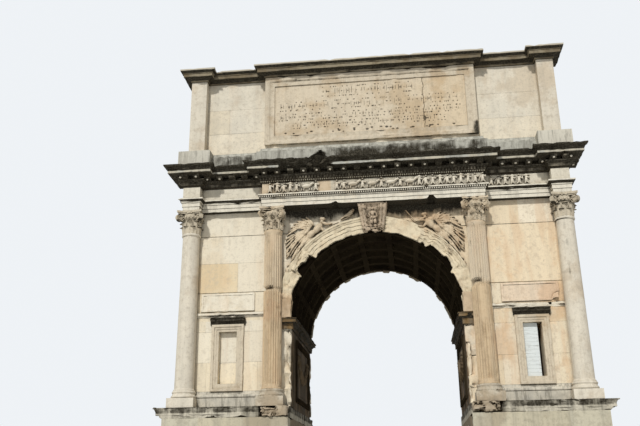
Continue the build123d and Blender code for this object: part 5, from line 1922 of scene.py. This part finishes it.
# %% Boarded shutter
BOARDS = 14
BOARD_THICKNESS = 0.028
shutter_low, shutter_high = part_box("window_shutter")
board_width = shutter_high[0] - shutter_low[0]
board_height = (shutter_high[2] - shutter_low[2]) / BOARDS
middle_x, middle_y = ((shutter_low[axis] + shutter_high[axis]) / 2 for axis in (0, 1))
turns = random.Random(29)
boards = []
for number in range(BOARDS):
    plank = bevelled_block(board_width, BOARD_THICKNESS, board_height * 0.99, 0.003)
    lean = Matrix.Rotation(math.radians(turns.uniform(-3, 0)), 4, "X")
    middle = Vector((middle_x, middle_y, shutter_low[2] + board_height * (number + 0.5)))
    plank.data.transform(Matrix.Translation(middle) @ lean)
    boards.append(plank)
settle(joined(boards, "shutter_boards"), shutter_paint, "window_shutter", slot="shutter_paint")

# %% [markdown]
# Each sunk coffer of the vault holds a flower. One flower is made of clay, facing down, and copied
# with a turn about the axis of the arch for each row and a step along it for each coffer.

# %% Coffer flowers
COFFER_ROWS = 9
COFFERS_DEEP = 5
COFFER_PITCH = 0.912
COFFER_BACK = 2.83
petals = [ball_at((0.0, 0, -0.03), (0.05, 0.05, 0.05))]
for number in range(6):
    petals.append(ball_at((0.085, 0, 0.0), (0.06, 0.042, 0.03), math.pi * number / 3))
flower = fused(petals, "flower", 0.016, pits=0, keep=0.35, smooth=1)
flowers = []
for row in range(COFFER_ROWS):
    turn = math.pi * (row + 0.5) / COFFER_ROWS - math.pi / 2
    for number in range(COFFERS_DEEP):
        y = (number - (COFFERS_DEEP - 1) / 2) * COFFER_PITCH
        place = Matrix.Translation((0, y, ARCH_AXIS_Z)) @ Matrix.Rotation(-turn, 4, "Y")
        flowers.append(copied(flower, "flower", place @ Matrix.Translation((0, 0, COFFER_BACK - 0.005))))
bpy.data.objects.remove(flower)
settle(joined(flowers, "coffer_flowers"), shaded_passage_stone, slot="passage_marble")

# %% [markdown]
# On each wall of the passage a framed panel holds a hanging garland of leaves and fruit between two
# ribbons, a common filling for such a panel. It is laid out flat in clay, then turned to face the
# passage.

# %% Passage garlands
def garland(name):
    """A swag with ribbons, laid out before the plane y = 0, about 2.3 m wide"""
    parts = []
    order = random.Random(31)
    for step in range(30):
        share = step / 29
        x = -1.0 + 2.0 * share
        sag = 0.62 * (1 - (2 * share - 1) ** 2)
        thick = 0.07 + 0.06 * math.sin(math.pi * share)
        for layer in range(3):
            aside = order.uniform(-0.6, 0.6) * thick
            first, last = (x - 0.03, 0.45 - sag + aside), (x + 0.03, 0.47 - sag + aside)
            radius, depth = 0.045 + 0.3 * thick, 0.05 + 0.02 * layer
            parts.append(lump(first, last, radius, depth, 0, 0.01 * layer))
    for side in (-1, 1):
        drop = [(side * 1.0, 0.5), (side * 1.1, 0.2), (side * 1.02, -0.1), (side * 1.12, -0.4)]
        parts += ribbon(drop, 0.045, 0.03, 0.03, 0)
        parts.append(lump((side * 1.0, 0.52), (side * 1.0, 0.53), 0.11, 0.07, 0))
    return fused(parts, name, 0.018, pits=0.02, keep=0.5, seed=4, smooth=1)


pattern = garland("garland")
panel_middle = sum(foot_and_top("passage_panels")) / 2
for side, side_name in SIDES:
    to_panel = Matrix.Translation((side * PASSAGE_EDGE, 0, panel_middle))
    place = to_panel @ Matrix.Rotation(-side * math.pi / 2, 4, "Z")
    settle(copied(pattern, f"{side_name}_garland", place), shaded_garland_stone, slot="passage_marble")
bpy.data.objects.remove(pattern)

# %% [markdown]
# Each window has a frame of three bands that step forward towards the outside. A flat block is inset
# and pushed back twice, and the innermost faces of both sides are bridged into the opening. Above
# the imposts a low slab with a sunk face lies between the columns. On the front right its lower
# outer corner has broken off.

# %% Window frames
WINDOW_X, WINDOW_Z = 4.715, 5.21
HALF_OPENING, HALF_HEIGHT = 0.285, 0.81
BAND_WIDTHS = (0.08, 0.07, 0.066)
BAND_STEPS = (0.026, 0.014)
STEP_WIDTH = 0.007
FRAME_OUT = 0.066
FRAME_SUNK = 0.02


def window_frame(name, side, face):
    """A frame of three bands, stepping back towards the opening"""
    reach = sum(BAND_WIDTHS) + len(BAND_STEPS) * STEP_WIDTH
    block_middle = (side * WINDOW_X, face * (WALL_FACE + FRAME_OUT / 2 - FRAME_SUNK / 2), WINDOW_Z)
    block_sizes = (2 * (HALF_OPENING + reach), FRAME_OUT + FRAME_SUNK, 2 * (HALF_HEIGHT + reach))
    made = box_at(block_middle, block_sizes, name)
    edit_all(made)
    pick_faces()
    middle = Vector((side * WINDOW_X, 0, WINDOW_Z))

    def innermost(mesh, way):
        facing = [one for one in mesh.faces if one.normal.y * way > 0.9]
        return min(facing, key=lambda one: (one.calc_center_median() - middle).xz.length)

    def pick(*ways):
        mesh = bmesh.from_edit_mesh(made.data)
        mesh.normal_update()
        chosen = [innermost(mesh, way) for way in ways]
        for one in mesh.faces:
            one.select_set(one in chosen)
        bmesh.update_edit_mesh(made.data)

    pick(face)
    for width, step in zip(BAND_WIDTHS, (*BAND_STEPS, 0)):
        bpy.ops.mesh.inset(thickness=width, depth=0)
        if step:
            bpy.ops.mesh.inset(thickness=STEP_WIDTH, depth=-step)
    pick(-face)
    bpy.ops.mesh.inset(thickness=reach, depth=0)
    pick(face, -face)
    bpy.ops.mesh.bridge_edge_loops()
    leave_edit()
    apply_modifier(made, "BEVEL", width=0.004, segments=2)
    sliced(made, "Z", spaced(WINDOW_Z - 1.0, WINDOW_Z + 1.0, 0.09))
    chip(made, 0.02, 0.12, 101 + side, start=0.25)
    return made


frames = [window_frame("frame", side, face) for side in (-1, 1) for face in (-1, 1)]
settle(joined(frames, "banded_window_frames"), frame_stone, "window_frames")


# %% Slabs above the string course
LOST_SLAB_CORNER = (5.6, 6.72)


def sunk_slab(name, side, face):
    """A low slab with a sunk face"""
    low, high = PANEL_ENDS
    made = bevelled_block(high - low, 0.05, 0.6, 0.01)
    made.name = name
    edit_all(made)
    pick_faces()
    mesh = bmesh.from_edit_mesh(made.data)
    for one in mesh.faces:
        one.select_set(one.normal.y < -0.9)
    bmesh.update_edit_mesh(made.data)
    bpy.ops.mesh.inset(thickness=0.06, depth=0)
    bpy.ops.mesh.inset(thickness=0.012, depth=-0.014)
    leave_edit()
    made.data.transform(Matrix.Translation(((low + high) / 2, -WALL_FACE - 0.015, 6.97)))
    sliced(made, "X", spaced(low, high, 0.07))
    sliced(made, "Z", spaced(6.67, 7.27, 0.06))
    chip(made, 0.02, 0.2, 111 + side, start=0.25)
    if side > 0 and face < 0:
        corner_x, corner_z = LOST_SLAB_CORNER

        def near_corner(co):
            return 1 - ramp(math.hypot(co.x - corner_x, co.z - corner_z), 0.08, 0.24)

        chip(made, 0.2, 0.2, 113, start=-0.9, where=near_corner)
    if side < 0:
        made.data.transform(RIGHT_TO_LEFT)
        made.data.flip_normals()
    if face > 0:
        made.data.transform(FRONT_TO_BACK)
        made.data.flip_normals()
    settle(made, peach_stone if side > 0 else wall_stone)


for side, face, quarter in QUARTERS:
    sunk_slab(f"{quarter}_slab", side, face)

# %% Small worn courses
def broken_string(piece):
    """On the front right the string course is broken off over the window"""
    sliced(piece, "X", spaced(4.1, 5.7, 0.05))

    def broken_off(co):
        if co.y > 0 or co.x < 4.15:
            return co
        share = ramp(co.x, 4.15, 4.3) * (1 - ramp(co.x, 5.5, 5.6)) * ramp(rough(co, 0.4, 37), -0.35, 0.1)
        return Vector((co.x, co.y + share * max(0, -WALL_FACE - 0.012 - co.y), co.z))

    shape(piece, broken_off)


worn_course("window_hoods", 0.09, 0.045, 0.2, 95, hood_stone, start=0.2)
worn_course("tablet_frames", 0.16, 0.045, 0.3, 97, frame_stone, start=0.33)
worn_course("attic_coping", 0.3, 0.04, 0.5, 99, coping_stone, slot="grey_travertine")
worn_course("string_courses", 0.12, 0.05, 0.25, 101, wall_stone, start=0.3, then=broken_string)

# %% [markdown]
# The last cell removes the clay ball.

# %% Finish
bpy.data.objects.remove(ball)
